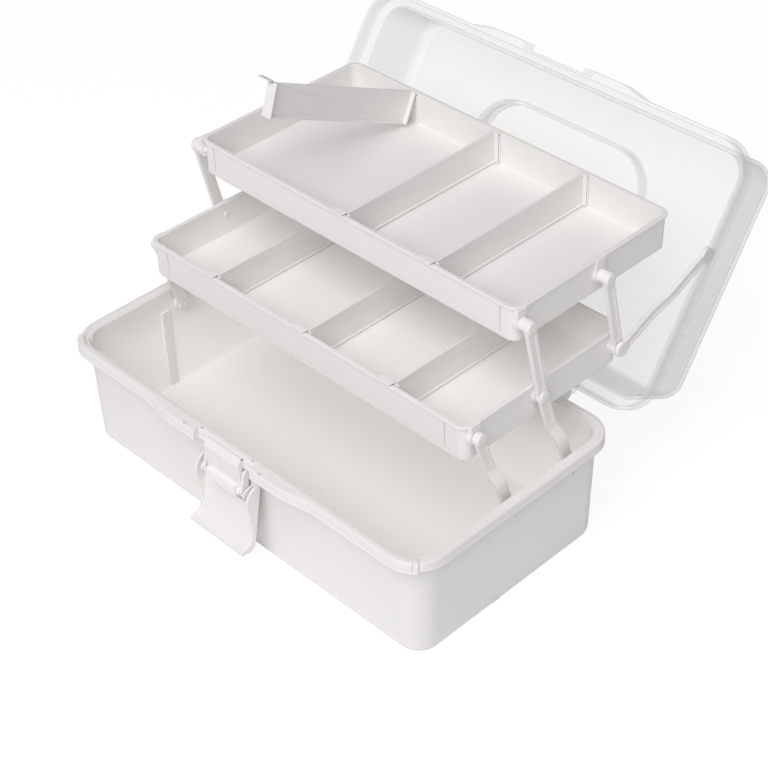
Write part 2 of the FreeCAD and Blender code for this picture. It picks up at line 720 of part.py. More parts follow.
def build_rear_arm(name, side):
    """The bar between the rear pivots of the two trays."""
    label, length = f"rear_arm_{name}", "{upper_arm_length}"
    body = build_bar(label, side, INNER_ARM_X, INNER_ARM_X, length, "{arm_thickness}")
    start, stop = "{boss_radius} + 1", f"{length} - {{boss_radius}} - 1"
    cut_groove(body, f"{label}_groove", side, ARM_FACE_X, start, stop)
    proud = f"{ARM_FACE_X} + {{arm_groove_depth}}"
    tray_pin(body, label, side, "{upper_tray_half_length}", proud, "0", length)
    disc(body, f"{label}_low_boss", side, INNER_ARM_X, ARM_FACE_X, "0", "0", "{boss_radius}")
    disc(
        body, f"{label}_bore", side, f"{INNER_ARM_X} - 1", f"{ARM_FACE_X} + 1", "0", "0",
        "{pin_radius} + {pin_clearance}", cut=True,
    )
    place(body, REAR_Y, REAR_Z, "{upper_arm_lean}")
    return body


def build_lid_link(name, side):
    """The bar from the lower tray's rear pivot to the inside of the lid's end wall."""
    label = f"lid_link_{name}"
    away, rise = f"({{lid_link_y}} - {HINGE_Y})", f"({LID_LINK_Z} - {HINGE_Z})"
    run = f"({HINGE_Y} + {away} * {OPEN_COSINE} + {rise} * {OPEN_SINE} - {REAR_Y})"
    climb = f"({HINGE_Z} - {away} * {OPEN_SINE} + {rise} * {OPEN_COSINE} - {REAR_Z})"
    length = f"sqrt({run} * {run} + {climb} * {climb})"
    low = f"({ARM_FACE_X} + {{arm_gap}})"
    high = f"({LID_BOSS_X} - {{pin_clearance}} - {LINK_THICKNESS})"
    body = build_bar(label, side, low, high, length, LINK_THICKNESS)
    low_face, high_face = f"{low} + {LINK_THICKNESS}", f"{high} + {LINK_THICKNESS}"
    disc(body, f"{label}_low_boss", side, low, low_face, "0", "0", "{boss_radius}")
    disc(body, f"{label}_high_boss", side, high, high_face, "0", length, "{boss_radius}")
    tip = "{lower_tray_half_length} - {tray_lip_overhang} - {tray_wall} - {pin_reach}"
    disc(body, f"{label}_pin", side, tip, f"{low} + 0.5", "0", "0", "{pin_radius}")
    place(body, REAR_Y, REAR_Z, f"-atan2({run}; {climb})")
    return body


# ---------------------------------------------------------------------------- lid
def place_with_lid(body):
    """Turn a body that is drawn with the lid shut about the rear hinge until it is open."""
    along = f"{HINGE_Y} - ({HINGE_Y} * {OPEN_COSINE} + {HINGE_Z} * {OPEN_SINE})"
    up = f"{HINGE_Z} - ({HINGE_Z} * {OPEN_COSINE} - {HINGE_Y} * {OPEN_SINE})"
    place(body, along, up, "-{lid_open_angle}")


def build_lid():
    body = new_body("lid")
    half, deep, bend = LID_HALF, LID_DEEP, "{lid_corner}"
    inset, skin = "{lid_flange_width}", "{lid_wall}"
    taper = "-{lid_draft_angle}"
    dome = frame(
        body, "lid_dome", LID_BOTTOM, f"{half} - {inset}", f"{deep} - {inset}", f"{bend} - {inset}",
    )
    pad(body, dome, "{lid_height}", taper=taper)
    flange = frame(body, "lid_flange", LID_BOTTOM, half, deep, bend)
    pad(body, flange, "{lid_flange_height}")
    add_lid_front(body)
    hollow = frame(
        body, "lid_flange_inside", LID_BOTTOM, f"{half} - {{lid_flange_wall}}",
        f"{deep} - {{lid_flange_wall}}", f"{bend} - {{lid_flange_wall}}",
    )
    pocket(body, hollow, "{lid_flange_height} - {lid_flange_wall}", reverse=True)
    inside = frame(
        body, "lid_inside", LID_BOTTOM, f"{half} - {inset} - {skin}", f"{deep} - {inset} - {skin}",
        f"{bend} - {inset} - {skin}",
    )
    pocket(body, inside, f"{{lid_height}} - {skin}", reverse=True, taper=taper)
    fillet(body, f"{{lid_crown_round}} - {skin}", level_edge(number(f"{LID_TOP} - {skin}")))
    fillet(body, "{lid_crown_round}", level_edge(number(LID_TOP)))
    sunk = new_sketch(body, "recess_outside", "XY_Plane", f"{LID_TOP} - {skin} / 2")
    rounded(
        sunk, f"{{recess_half_length}} + {skin}", f"-{{recess_front}} - {skin}",
        f"{{recess_back}} + {skin}", f"{{recess_corner}} + {skin}", f"{{recess_back_corner}} + {skin}",
    )
    pad(body, sunk, f"{{recess_depth}} + {skin} / 2", reverse=True)
    recess = new_sketch(body, "recess", "XY_Plane", LID_TOP)
    rounded(
        recess, "{recess_half_length}", "-{recess_front}", "{recess_back}", "{recess_corner}",
        "{recess_back_corner}",
    )
    pocket(body, recess, "{recess_depth}")
    for name, side in SIDES:
        add_lid_fittings(body, name, side)
    place_with_lid(body)
    return body


def add_lid_front(body):
    """The wider middle of the flange's front, cut back where the latch lies on it."""
    swell = new_sketch(body, "lid_front", "XY_Plane", LID_BOTTOM)
    wide = "{latch_flank_half_length}"
    front = f"-{LID_DEEP} - {{latch_flank_reach}}"
    polygon(swell, [
        (f"-{wide} - {{latch_flank_taper}}", f"-{LID_DEEP} + 1"),
        (f"-{wide} - {{latch_flank_taper}}", f"-{LID_DEEP}"),
        (f"-{wide}", front),
        (wide, front),
        (f"{wide} + {{latch_flank_taper}}", f"-{LID_DEEP}"),
        (f"{wide} + {{latch_flank_taper}}", f"-{LID_DEEP} + 1"),
    ])
    pad(body, swell, "{lid_flange_height}")
    seat = new_sketch(body, "latch_seat", "XY_Plane", f"{LID_BOTTOM} - 1")
    half = "{latch_half_width} + 2 * {pin_clearance}"
    back = f"-{LID_DEEP} + 0.6"
    polygon(seat, rectangle(f"-({half})", half, f"-{LID_DEEP} - 5", back))
    pocket(body, seat, "{lid_flange_height} + 2", reverse=True)


def add_lid_fittings(body, name, side):
    """The post for the handle, the arm of the rear hinge and the boss for the link."""
    post = "({handle_half_length} + 2)"
    outer = f"{post} + {{handle_post}}"
    size = "({handle_pivot_rise} - 0.8)"
    sides = rectangle(f"-{size}", size, f"{RECESS_FLOOR} - {{lid_wall}} / 2", HANDLE_Z)
    slab(body, f"post_{name}", side, post, outer, sides)
    disc(body, f"post_round_{name}", side, post, outer, "0", HANDLE_Z, size)
    disc(
        body, f"post_bore_{name}", side, f"{post} - 1", f"{outer} - 1", "0", HANDLE_Z,
        "{handle_pin_radius} + {pin_clearance}", cut=True,
    )
    near = "{hinge_position} - {hinge_knuckle_half}"
    far = "{hinge_position} + {hinge_knuckle_half}"
    slab(body, f"knuckle_{name}", side, near, far, [
        (f"{HINGE_Y} - 3.9", HINGE_Z),
        (f"{HINGE_Y} - 3.9", f"{LID_BOTTOM} + 0.6"),
        (f"{LID_DEEP} - 1.5", f"{LID_BOTTOM} + 0.6"),
        (f"{LID_DEEP} - 1.5", f"{LID_BOTTOM} + {{lid_flange_height}} - 3"),
        (f"{LID_DEEP} + 4.5", f"{LID_BOTTOM} + {{lid_flange_height}} - 3"),
        (f"{HINGE_Y} + 5.1", f"{HINGE_Z} + 3.8"),
        (f"{HINGE_Y} + 4.2", f"{HINGE_Z} - 1.5"),
    ])
    disc(
        body, f"knuckle_round_{name}", side, near, far, HINGE_Y, HINGE_Z,
        "{hinge_barrel_radius}",
    )
    reach = "{arm_gap} + {hinge_ear} - 0.5"
    disc(
        body, f"knuckle_pin_{name}", side, f"{near} - {reach}", f"{far} + {reach}", HINGE_Y,
        HINGE_Z, "{handle_pin_radius}",
    )
    disc(
        body, f"link_boss_{name}", side, LID_BOSS_X, f"{LID_WALL_X} + {{lid_wall}} / 2",
        "{lid_link_y}", LID_LINK_Z, "{boss_radius}",
    )


# ------------------------------------------------------------------------- handle
def build_handle():
    """The carrying handle, drawn upright on the shut lid."""
    body = new_body("handle")
    top, under = f"{HANDLE_Z} + {{handle_reach}}", f"{HANDLE_Z} + {{handle_reach}} - {{handle_bar}}"
    knee = f"{HANDLE_Z} + {{handle_reach}} * 0.25"
    out, crown = "{handle_half_length}", "({handle_half_length} - {handle_splay})"
    leg = "{handle_bar}"
    right = [
        (out, HANDLE_Z), (out, knee), (crown, top),
    ]
    inner = [
        (f"{crown} - {leg}", under), (f"{out} - {leg}", knee), (f"{out} - {leg}", HANDLE_Z),
    ]
    corners = right
    corners = corners + [(f"-{across}", up) for across, up in reversed(right)]
    corners = corners + [(f"-({across})", up) for across, up in reversed(inner)]
    corners = corners + inner
    loop = new_sketch(body, "handle_loop", "XZ_Plane")
    polygon(loop, corners)
    pad(body, loop, "{handle_thickness}", both=True)
    upper, lower = number(top), number(under)

    def bar_corner(height):
        def wanted(edge):
            box = edge.BoundBox
            return box.ZLength < 0.01 and box.XLength < 0.01 and abs(box.ZMin - height) < 0.05
        return wanted

    fillet(body, "{handle_corner}", bar_corner(upper))
    fillet(body, "{handle_corner} * 0.4", bar_corner(lower))
    for name, side in SIDES:
        disc(
            body, f"foot_{name}", side, f"{out} - {leg}", out, "0", HANDLE_Z,
            "{handle_thickness} / 2",
        )
        tip = f"{out} + {{handle_post}}"
        disc(body, f"pin_{name}", side, f"{out} - 1", tip, "0", HANDLE_Z, "{handle_pin_radius}")
    place_with_lid(body)
    return body


# -------------------------------------------------------------------------- latch
def build_latch():
    """The latch about its own pivot, drawn as it lies on the shut lid, then swung open."""
    body = new_body("latch")
    inner = "{latch_plate_offset}"
    outer = "({latch_plate_offset} + {latch_plate})"
    under = f"({LID_BOTTOM} + {{lid_flange_height}} + 0.4 + {{latch_hook_lip}} - {LATCH_Z})"
    top = f"({under} + {{latch_hook}})"
    lip = f"{under} - {{latch_hook_lip}}"
    side_view = new_sketch(body, "latch_plate", "YZ_Plane")
    polygon(side_view, [
        (f"-{inner}", "-{latch_tail}"),
        (f"-{inner}", under),
        ("{latch_hook_depth} - 1.5", under),
        ("{latch_hook_depth} - 1.5", lip),
        ("{latch_hook_depth}", lip),
        ("{latch_hook_depth}", top),
        (f"-{outer} + 1", top),
        (f"-{outer}", f"{top} - 1"),
        (f"-{outer}", "-{latch_tail}"),
    ])
    pad(body, side_view, "2 * {latch_half_width}", both=True)
    cheek = "({tongue_half_width} + {arm_gap})"
    cheek_end = f"{cheek} + {{latch_cheek}}"
    for name, side in SIDES:
        slab(body, f"cheek_{name}", side, cheek, cheek_end, [
            (f"-{inner} - 0.5", "-{latch_tail}"),
            ("0", "-{latch_boss_radius}"),
            ("{latch_boss_radius}", "0"),
            ("{latch_boss_radius} * 0.5", "{latch_boss_radius} * 1.5"),
            (f"-{inner} - 0.5", "{latch_tail} * 2.3"),
        ])
        disc(body, f"cheek_pin_{name}", side, f"{cheek} - 3", cheek_end, "0", "0", "{latch_boss_radius} / 2")
    window = new_sketch(body, "latch_window", "XZ_Plane", outer)
    half = "{tongue_half_width} - 2"
    polygon(window, rectangle(f"-({half})", half, "-{latch_tail} * 0.4", "{latch_tail} * 1.27"))
    pocket(body, window, "{latch_plate} + 1")
    place(body, LATCH_Y, LATCH_Z, "{latch_swing}")
    return body


# ---------------------------------------------------------------------- assembly
def lower_pivots():
    front = "{lower_tray_front_setback} - {lower_tray_depth} / 2"
    rise = "{lower_tray_height} - {lower_pivot_below_top}"
    middle = f"{front} + {{base_pivot_spacing}}"
    rear = f"{middle} + {{rear_pivot_spacing}}"
    return [(front, rise), (middle, rise), (rear, f"{rise} - {{rear_pivot_drop}}")]


def upper_pivots():
    front = "{upper_tray_front_setback} - {upper_tray_depth} / 2"
    rise = "{upper_tray_height} - {upper_pivot_below_top}"
    rear = f"{front} + {{rear_pivot_spacing}}"
    return [(front, rise), (rear, f"{rise} - {{rear_pivot_drop}}")]


PLACES = ("left", "middle", "right")
lower_front = f"{FRONT_Y} - {{lower_tray_front_setback}}"
lower_top = f"{LOWER_Z} + {{lower_pivot_below_top}}"
upper_front = f"{UPPER_Y} - {{upper_tray_front_setback}}"
upper_top = f"{UPPER_Z} + {{upper_pivot_below_top}}"

nodes = [build_tub()]
nodes.append(build_tray(
    "lower_tray", lower_pivots(), [f"{{lower_divider_{place_name}}}" for place_name in PLACES],
    f"{lower_front} + {{lower_tray_depth}} / 2", f"{lower_top} - {{lower_tray_height}}",
))
nodes.append(build_tray(
    "upper_tray", upper_pivots(), [f"{{upper_divider_{place_name}}}" for place_name in PLACES],
    f"{upper_front} + {{upper_tray_depth}} / 2", f"{upper_top} - {{upper_tray_height}}",
))
for place_name in PLACES:
    nodes.append(build_divider(
        f"lower_divider_{place_name}", "lower_tray", f"{{lower_divider_{place_name}}}",
        lower_front, lower_top,
    ))
    turn = "-{raised_angle}" if place_name == "left" else "0"
    nodes.append(build_divider(
        f"upper_divider_{place_name}", "upper_tray", f"{{upper_divider_{place_name}}}",
        upper_front, upper_top, turn,
    ))
for side_name, sign in SIDES:
    nodes.append(build_lower_arm(f"front_arm_{side_name}", sign, "{front_pivot_y}"))
    nodes.append(build_long_arm(side_name, sign))
    nodes.append(build_rear_arm(side_name, sign))
    nodes.append(build_lid_link(side_name, sign))
nodes.append(build_lid())
nodes.append(build_handle())
nodes.append(build_latch())

document.recompute()
for item in document.Objects:
    if {"Invalid", "Error"} & set(item.State):
        raise RuntimeError(f"{item.Name} did not build: {item.State}")
for node in nodes:
    if node.Shape.isNull() or not node.Shape.isValid():
        raise RuntimeError(f"{node.Label} has no valid shape")
    if len(node.Shape.Solids) != 1:
        raise RuntimeError(f"{node.Label} is {len(node.Shape.Solids)} solids")
os.makedirs("parts", exist_ok=True)
for node in nodes:
    node.Shape.exportStep(os.path.join("parts", f"{node.Label}.step"))
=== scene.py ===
"""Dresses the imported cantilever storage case: white moulded tub and trays, clear lid.

Shapes are worked out in millimetres in the case's own frame and put into their meshes in
metres.  What belongs to the lid or the latch is worked out as it stands with the case shut
and is then turned to its open place about its own hinge.
"""
import logging
import math
from dataclasses import dataclass, field, replace
from enum import Enum
from typing import Optional, Sequence

import bmesh
import bpy
import numpy as np
from mathutils import Matrix, Vector


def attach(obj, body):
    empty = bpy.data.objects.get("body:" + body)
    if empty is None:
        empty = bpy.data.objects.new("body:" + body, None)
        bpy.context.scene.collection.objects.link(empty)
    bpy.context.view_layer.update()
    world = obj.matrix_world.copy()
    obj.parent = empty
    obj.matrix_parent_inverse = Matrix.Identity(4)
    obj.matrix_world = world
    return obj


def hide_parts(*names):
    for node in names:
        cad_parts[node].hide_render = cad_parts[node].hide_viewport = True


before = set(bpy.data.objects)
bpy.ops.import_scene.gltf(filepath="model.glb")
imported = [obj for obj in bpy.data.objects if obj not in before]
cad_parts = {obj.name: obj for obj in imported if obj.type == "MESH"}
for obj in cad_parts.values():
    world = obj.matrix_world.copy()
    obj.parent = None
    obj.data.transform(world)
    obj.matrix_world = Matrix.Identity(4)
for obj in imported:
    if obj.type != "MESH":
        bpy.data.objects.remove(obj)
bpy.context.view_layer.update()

LOG = logging.getLogger("storage_case")
MILLIMETRE = 0.001
SMOOTH_BELOW = math.radians(38.0)
CORNER_STEPS = 9
LATCH_PIVOT = (-93.6, 57.0)
HANDLE_PIVOT_HEIGHT = 136.3
HINGE_AT = 95.0


class Side(Enum):
    """The two ends of the case."""

    LEFT = -1
    RIGHT = 1

    @property
    def word(self) -> str:
        """The end's name as the nodes spell it."""
        return self.name.lower()


# ------------------------------------------------------------------ surface algebra
def soften(profile: Sequence, radii: object, steps: int = 4) -> np.ndarray:
    """Rounds the corners of an open line of points.

    Each inner corner becomes a quadratic curve whose control point is the corner and whose
    ends lie one radius away from it along both of its legs.

    Args:
        profile: the line's points, one row each.
        radii: one radius for all points, or one for each.
        steps: how many pieces each rounded corner has.

    Returns:
        The rounded line, one row for each point.
    """
    points = np.asarray(profile, float)
    reach = np.broadcast_to(np.asarray(radii, float), len(points))[1:-1, None]
    before, after = points[:-2] - points[1:-1], points[2:] - points[1:-1]
    first = np.linalg.norm(before, axis=1, keepdims=True)
    second = np.linalg.norm(after, axis=1, keepdims=True)
    reach = np.minimum(reach, 0.49 * np.minimum(first, second))
    start, end = points[1:-1] + before / first * reach, points[1:-1] + after / second * reach
    part = np.linspace(0.0, 1.0, steps + 1)[:, None, None]
    arcs = (1 - part) ** 2 * start + 2 * part * (1 - part) * points[1:-1] + part**2 * end
    arcs = arcs.transpose(1, 0, 2).reshape(-1, points.shape[1])
    return np.vstack([points[:1], arcs, points[-1:]])


def soften_loop(corners: Sequence, radii: object, steps: int = 3) -> np.ndarray:
    """Rounds every corner of a closed line, given without its last point repeated."""
    points = np.asarray(corners, float)
    bends = np.broadcast_to(np.asarray(radii, float), len(points))
    around = np.vstack([points[-1:], points, points[:1]])
    return soften(around, np.concatenate([bends[-1:], bends, bends[:1]]), steps)[1:-1]


def ease(value: np.ndarray, low: float, high: float) -> np.ndarray:
    """A smooth step from 0 at low to 1 at high: 3 t squared less 2 t cubed."""
    part = np.clip((np.asarray(value, float) - low) / (high - low), 0.0, 1.0)
    return part * part * (3 - 2 * part)


def turned(points: np.ndarray, pivot: tuple[float, float], degrees: float) -> np.ndarray:
    """Turns points about an axis along X through a pivot given by its Y and Z."""
    cosine, sine = math.cos(math.radians(degrees)), math.sin(math.radians(degrees))
    along, up = points[..., 1] - pivot[0], points[..., 2] - pivot[1]
    result = np.array(points, float)
    result[..., 1] = pivot[0] + along * cosine - up * sine
    result[..., 2] = pivot[1] + along * sine + up * cosine
    return result


def loops(
    half: np.ndarray, front: np.ndarray, back: np.ndarray, front_bend: np.ndarray,
    back_bend: np.ndarray, height: np.ndarray, stops: Sequence[float] = (),
    angles: Optional[Sequence[float]] = None,
) -> np.ndarray:
    """Level rounded rectangles, one for each entry of the given arrays.

    Each runs anticlockwise seen from above: along the front through the given stops, then
    round four quarter circles, whose points are centre plus radius times cosine and sine.

    Args:
        half: half the length along X.
        front: the front side's Y.
        back: the back side's Y.
        front_bend: the radius of both front corners.
        back_bend: the radius of both back corners.
        height: the level.
        stops: places along X where the front side has a point.
        angles: places round each quarter circle in degrees from its end on the front or
            back side, in place of even steps.

    Returns:
        An array of loops by points by three.
    """
    given = np.broadcast_arrays(half, front, back, front_bend, back_bend, height)
    half, front, back, near, far, height = (np.atleast_1d(item).astype(float)[:, None] for item in given)
    places = np.linspace(0.0, 90.0, CORNER_STEPS + 1) if angles is None else np.asarray(angles, float)
    turn = np.radians(places)[None, :]
    back_turn = turn[:, ::-1]
    rise, fall = np.sin(turn), np.cos(turn)
    run = np.clip(np.asarray(stops, float)[None, :], near - half, half - near)
    back_rise, back_fall = np.sin(back_turn), np.cos(back_turn)
    across = np.hstack([
        run, half - near + near * rise, half - far + far * back_rise,
        far - half - far * rise, near - half - near * back_rise,
    ])
    along = np.hstack([
        front + 0 * run, front + near - near * fall, back - far + far * back_fall,
        back - far + far * fall, front + near - near * back_fall,
    ])
    return np.stack([across, along, height + 0 * across], axis=-1)


def inset_loops(
    half: float, deep: float, bend: float, profile: np.ndarray, stops: Sequence[float] = (),
    angles: Optional[Sequence[float]] = None,
) -> np.ndarray:
    """Carries a profile of (inset, height) points round one rounded rectangle."""
    inset, height = profile[:, 0], profile[:, 1]
    corner = np.maximum(bend - inset, 0.6)
    return loops(
        half - inset, inset - deep, deep - inset, corner, corner, height, stops, angles=angles,
    )


def grid_faces(rows: int, columns: int, start: int = 0) -> list:
    """The four-cornered faces of a grid whose columns close on themselves.

    Corner (row, column) has the number start plus row times columns plus column.
    """
    row, column = np.meshgrid(np.arange(rows - 1), np.arange(columns), indexing="ij")
    here, after = start + row * columns + column, start + row * columns + (column + 1) % columns
    faces = np.stack([here, after, after + columns, here + columns], axis=-1)
    return faces.reshape(-1, 4).tolist()


@dataclass
class Shell:
    """A closed skin: loops of points from a first cap to a last cap."""

    rings: np.ndarray

    def points(self) -> np.ndarray:
        """All points in one list."""
        return self.rings.reshape(-1, 3)

    def faces(self, start: int) -> list:
        """The skin's faces and its two caps, its first corner being the given one."""
        rows, columns = self.rings.shape[:2]
        around = np.arange(start, start + columns)
        caps = [around[::-1].tolist(), (around + (rows - 1) * columns).tolist()]
        return grid_faces(rows, columns, start) + caps

    def mirrored(self) -> "Shell":
        """The same skin on the other side of the middle plane."""
        flipped = self.rings[:, ::-1] * np.array([-1.0, 1.0, 1.0])
        return Shell(flipped)

    def moved(self, across: float = 0.0, along: float = 0.0, up: float = 0.0) -> "Shell":
        """The same skin shifted."""
        return Shell(self.rings + np.array([across, along, up]))

    def turned(self, pivot: tuple[float, float], degrees: float) -> "Shell":
        """The same skin turned about an axis along X."""
        return Shell(turned(self.rings, pivot, degrees))


def on_side(shell: Shell, side: Side) -> Shell:
    """A skin worked out for the right-hand end, put at the given end."""
    return shell if side is Side.RIGHT else shell.mirrored()


def lathe(profile: Sequence, centre: tuple[float, float], radii: object = 0.3, turns: int = 28) -> Shell:
    """Turns a profile of (X, radius) points about an axis along X.

    A point at angle a lies at centre plus radius times (cosine a, sine a) in Y and Z.
    """
    line = soften(profile, radii, 3)
    angle = np.linspace(0.0, 2 * math.pi, turns, endpoint=False)[None, :]
    radius = np.maximum(line[:, 1:], 0.02)
    along, up = centre[0] + radius * np.cos(angle), centre[1] + radius * np.sin(angle)
    return Shell(np.stack([line[:, :1] + 0 * along, along, up], axis=-1))


def drum(low: float, high: float, centre: tuple[float, float], radius: float, edge: float = 0.4) -> Shell:
    """A round boss or pin along X with soft edges."""
    return lathe([(low, 0.0), (low, radius), (high, radius), (high, 0.0)], centre, edge)


def block(low: Sequence[float], high: Sequence[float], edge: float = 0.5, steps: int = 3) -> Shell:
    """A box with rounded edges: a small ball's surface pulled out to the box's corners."""
    low, high = np.minimum(low, high).astype(float), np.maximum(low, high).astype(float)
    edge = min(edge, 0.49 * float((high - low).min()))
    core = (high - low) / 2 - edge
    quarter = np.linspace(0.0, math.pi / 2, steps + 1)
    tilt = np.concatenate([quarter - math.pi / 2, quarter])[:, None]
    pole = np.repeat([-1.0, 1.0], steps + 1)[:, None]
    spin = np.concatenate([quarter + turn * math.pi / 2 for turn in range(4)])[None, :]
    east = np.repeat([1.0, -1.0, -1.0, 1.0], steps + 1)[None, :]
    north = np.repeat([1.0, 1.0, -1.0, -1.0], steps + 1)[None, :]
    across = east * core[0] + edge * np.cos(tilt) * np.cos(spin)
    along = north * core[1] + edge * np.cos(tilt) * np.sin(spin)
    up = pole * core[2] + edge * np.sin(tilt) + 0 * spin
    return Shell(np.stack([across, along, up], axis=-1) + (low + high) / 2)


def plank(outline: Sequence, low: float, high: float, edge: float = 0.4, bends: object = 0.5) -> Shell:
    """An outline in Y and Z, given anticlockwise seen from +X, made solid from low to high.

    Near both faces the outline is drawn in towards its own middle line by a quarter circle.
    """
    loop = soften_loop(outline, bends)
    step = np.roll(loop, -1, axis=0) - np.roll(loop, 1, axis=0)
    length = np.maximum(np.linalg.norm(step, axis=1, keepdims=True), 1e-9)
    outward = np.stack([step[:, 1], -step[:, 0]], axis=1) / length
    turn = np.linspace(0.0, math.pi / 2, 4)
    shrink = np.concatenate([edge * (1 - np.sin(turn)), edge * (1 - np.cos(turn))])[:, None, None]
    level = np.concatenate([low + edge * (1 - np.cos(turn)), high - edge * (1 - np.sin(turn))])
    flat = loop[None] - outward[None] * shrink
    across = np.broadcast_to(level[:, None, None], flat.shape[:2] + (1,))
    return Shell(np.concatenate([across, flat], axis=-1))


def ribbon(path: np.ndarray, section: np.ndarray) -> Shell:
    """Carries a section along a path in the YZ plane.

    A section point (across, off) goes to the path's point plus off times the path's own
    normal, and lies at across along X.

    Args:
        path: points (Y, Z) one after another.
        section: closed line of (across, off) points.

    Returns:
        The closed skin.
    """
    slope = np.gradient(path, axis=0)
    slope /= np.linalg.norm(slope, axis=1, keepdims=True)
    normal = np.stack([slope[:, 1], -slope[:, 0]], axis=1)
    place = path[:, None, :] + normal[:, None, :] * section[None, :, 1:]
    across = np.broadcast_to(section[None, :, :1], place.shape[:2] + (1,))
    return Shell(np.concatenate([across, place], axis=-1))


def skin_mesh(name: str, shells: Sequence[Shell]) -> bpy.types.Mesh:
    """Puts closed skins, given in millimetres, into one new mesh.

    Args:
        name: the mesh's name.
        shells: the skins.

    Returns:
        The mesh, with points that fall together made one.
    """
    starts = np.cumsum([0] + [len(shell.points()) for shell in shells])
    points = np.vstack([shell.points() for shell in shells]) * MILLIMETRE
    faces = [face for start, shell in zip(starts, shells) for face in shell.faces(int(start))]
    mesh = bpy.data.meshes.new(name)
    mesh.from_pydata(points.tolist(), [], faces)
    work = bmesh.new()
    work.from_mesh(mesh)
    bmesh.ops.remove_doubles(work, verts=work.verts, dist=2e-6)
    bmesh.ops.dissolve_degenerate(work, edges=work.edges, dist=1e-6)
    wide = [face for face in work.faces if len(face.verts) > 4]
    bmesh.ops.triangulate(work, faces=wide, ngon_method="BEAUTY")
    work.to_mesh(mesh)
    work.free()
    return mesh


# ------------------------------------------------------------------------ finishes
def socket(tree: bpy.types.NodeTree, name: str, kind: str, out: bool = False, value: object = None) -> None:
    """Adds a named input or output to a node group."""
    item = tree.interface.new_socket(name=name, in_out="OUTPUT" if out else "INPUT", socket_type=kind)
    if value is not None:
        item.default_value = value


def moulding_group() -> bpy.types.NodeTree:
    """Builds the group for the look of moulded plastic.

    Returns:
        A group that gives a colour, a roughness and a height: broad cloudy patches between
        two tints, drawn-out flow lines along the piece and a fine even skin.
    """
    tree = bpy.data.node_groups.new("moulded_skin", "ShaderNodeTree")
    socket(tree, "Tint", "NodeSocketColor", value=(0.9, 0.9, 0.9, 1.0))
    socket(tree, "Shade", "NodeSocketColor", value=(0.85, 0.85, 0.85, 1.0))
    socket(tree, "Patch Size", "NodeSocketFloat", value=18.0)
    socket(tree, "Skin Size", "NodeSocketFloat", value=900.0)
    socket(tree, "Roughness", "NodeSocketFloat", value=0.35)
    socket(tree, "Roughness Spread", "NodeSocketFloat", value=0.08)
    socket(tree, "Color", "NodeSocketColor", out=True)
    socket(tree, "Roughness", "NodeSocketFloat", out=True)
    socket(tree, "Height", "NodeSocketFloat", out=True)
    nodes, links = tree.nodes, tree.links
    given, result = nodes.new("NodeGroupInput"), nodes.new("NodeGroupOutput")
    place = nodes.new("ShaderNodeTexCoord")
    cloud = nodes.new("ShaderNodeTexNoise")
    cloud.inputs["Detail"].default_value = 3.0
    cloud.inputs["Roughness"].default_value = 0.55
    links.new(place.outputs["Object"], cloud.inputs["Vector"])
    links.new(given.outputs["Patch Size"], cloud.inputs["Scale"])
    stretch = nodes.new("ShaderNodeMapping")
    stretch.inputs["Scale"].default_value = (14.0, 60.0, 220.0)
    flow = nodes.new("ShaderNodeTexNoise")
    flow.inputs["Scale"].default_value = 1.0
    flow.inputs["Detail"].default_value = 4.0
    links.new(place.outputs["Object"], stretch.inputs["Vector"])
    links.new(stretch.outputs["Vector"], flow.inputs["Vector"])
    skin = nodes.new("ShaderNodeTexNoise")
    skin.inputs["Detail"].default_value = 2.0
    links.new(place.outputs["Object"], skin.inputs["Vector"])
    links.new(given.outputs["Skin Size"], skin.inputs["Scale"])
    mix = nodes.new("ShaderNodeMix")
    mix.data_type = "RGBA"
    links.new(cloud.outputs["Fac"], mix.inputs["Factor"])
    links.new(given.outputs["Tint"], mix.inputs["A"])
    links.new(given.outputs["Shade"], mix.inputs["B"])
    links.new(mix.outputs["Result"], result.inputs["Color"])
    centred = nodes.new("ShaderNodeMath")
    centred.operation = "SUBTRACT"
    centred.inputs[1].default_value = 0.5
    links.new(flow.outputs["Fac"], centred.inputs[0])
    spread = nodes.new("ShaderNodeMath")
    spread.operation = "MULTIPLY_ADD"
    links.new(centred.outputs[0], spread.inputs[0])
    links.new(given.outputs["Roughness Spread"], spread.inputs[1])
    links.new(given.outputs["Roughness"], spread.inputs[2])
    links.new(spread.outputs[0], result.inputs["Roughness"])
    height = nodes.new("ShaderNodeMath")
    height.operation = "MULTIPLY_ADD"
    height.inputs[1].default_value = 0.35
    links.new(skin.outputs["Fac"], height.inputs[0])
    links.new(flow.outputs["Fac"], height.inputs[2])
    links.new(height.outputs[0], result.inputs["Height"])
    return tree


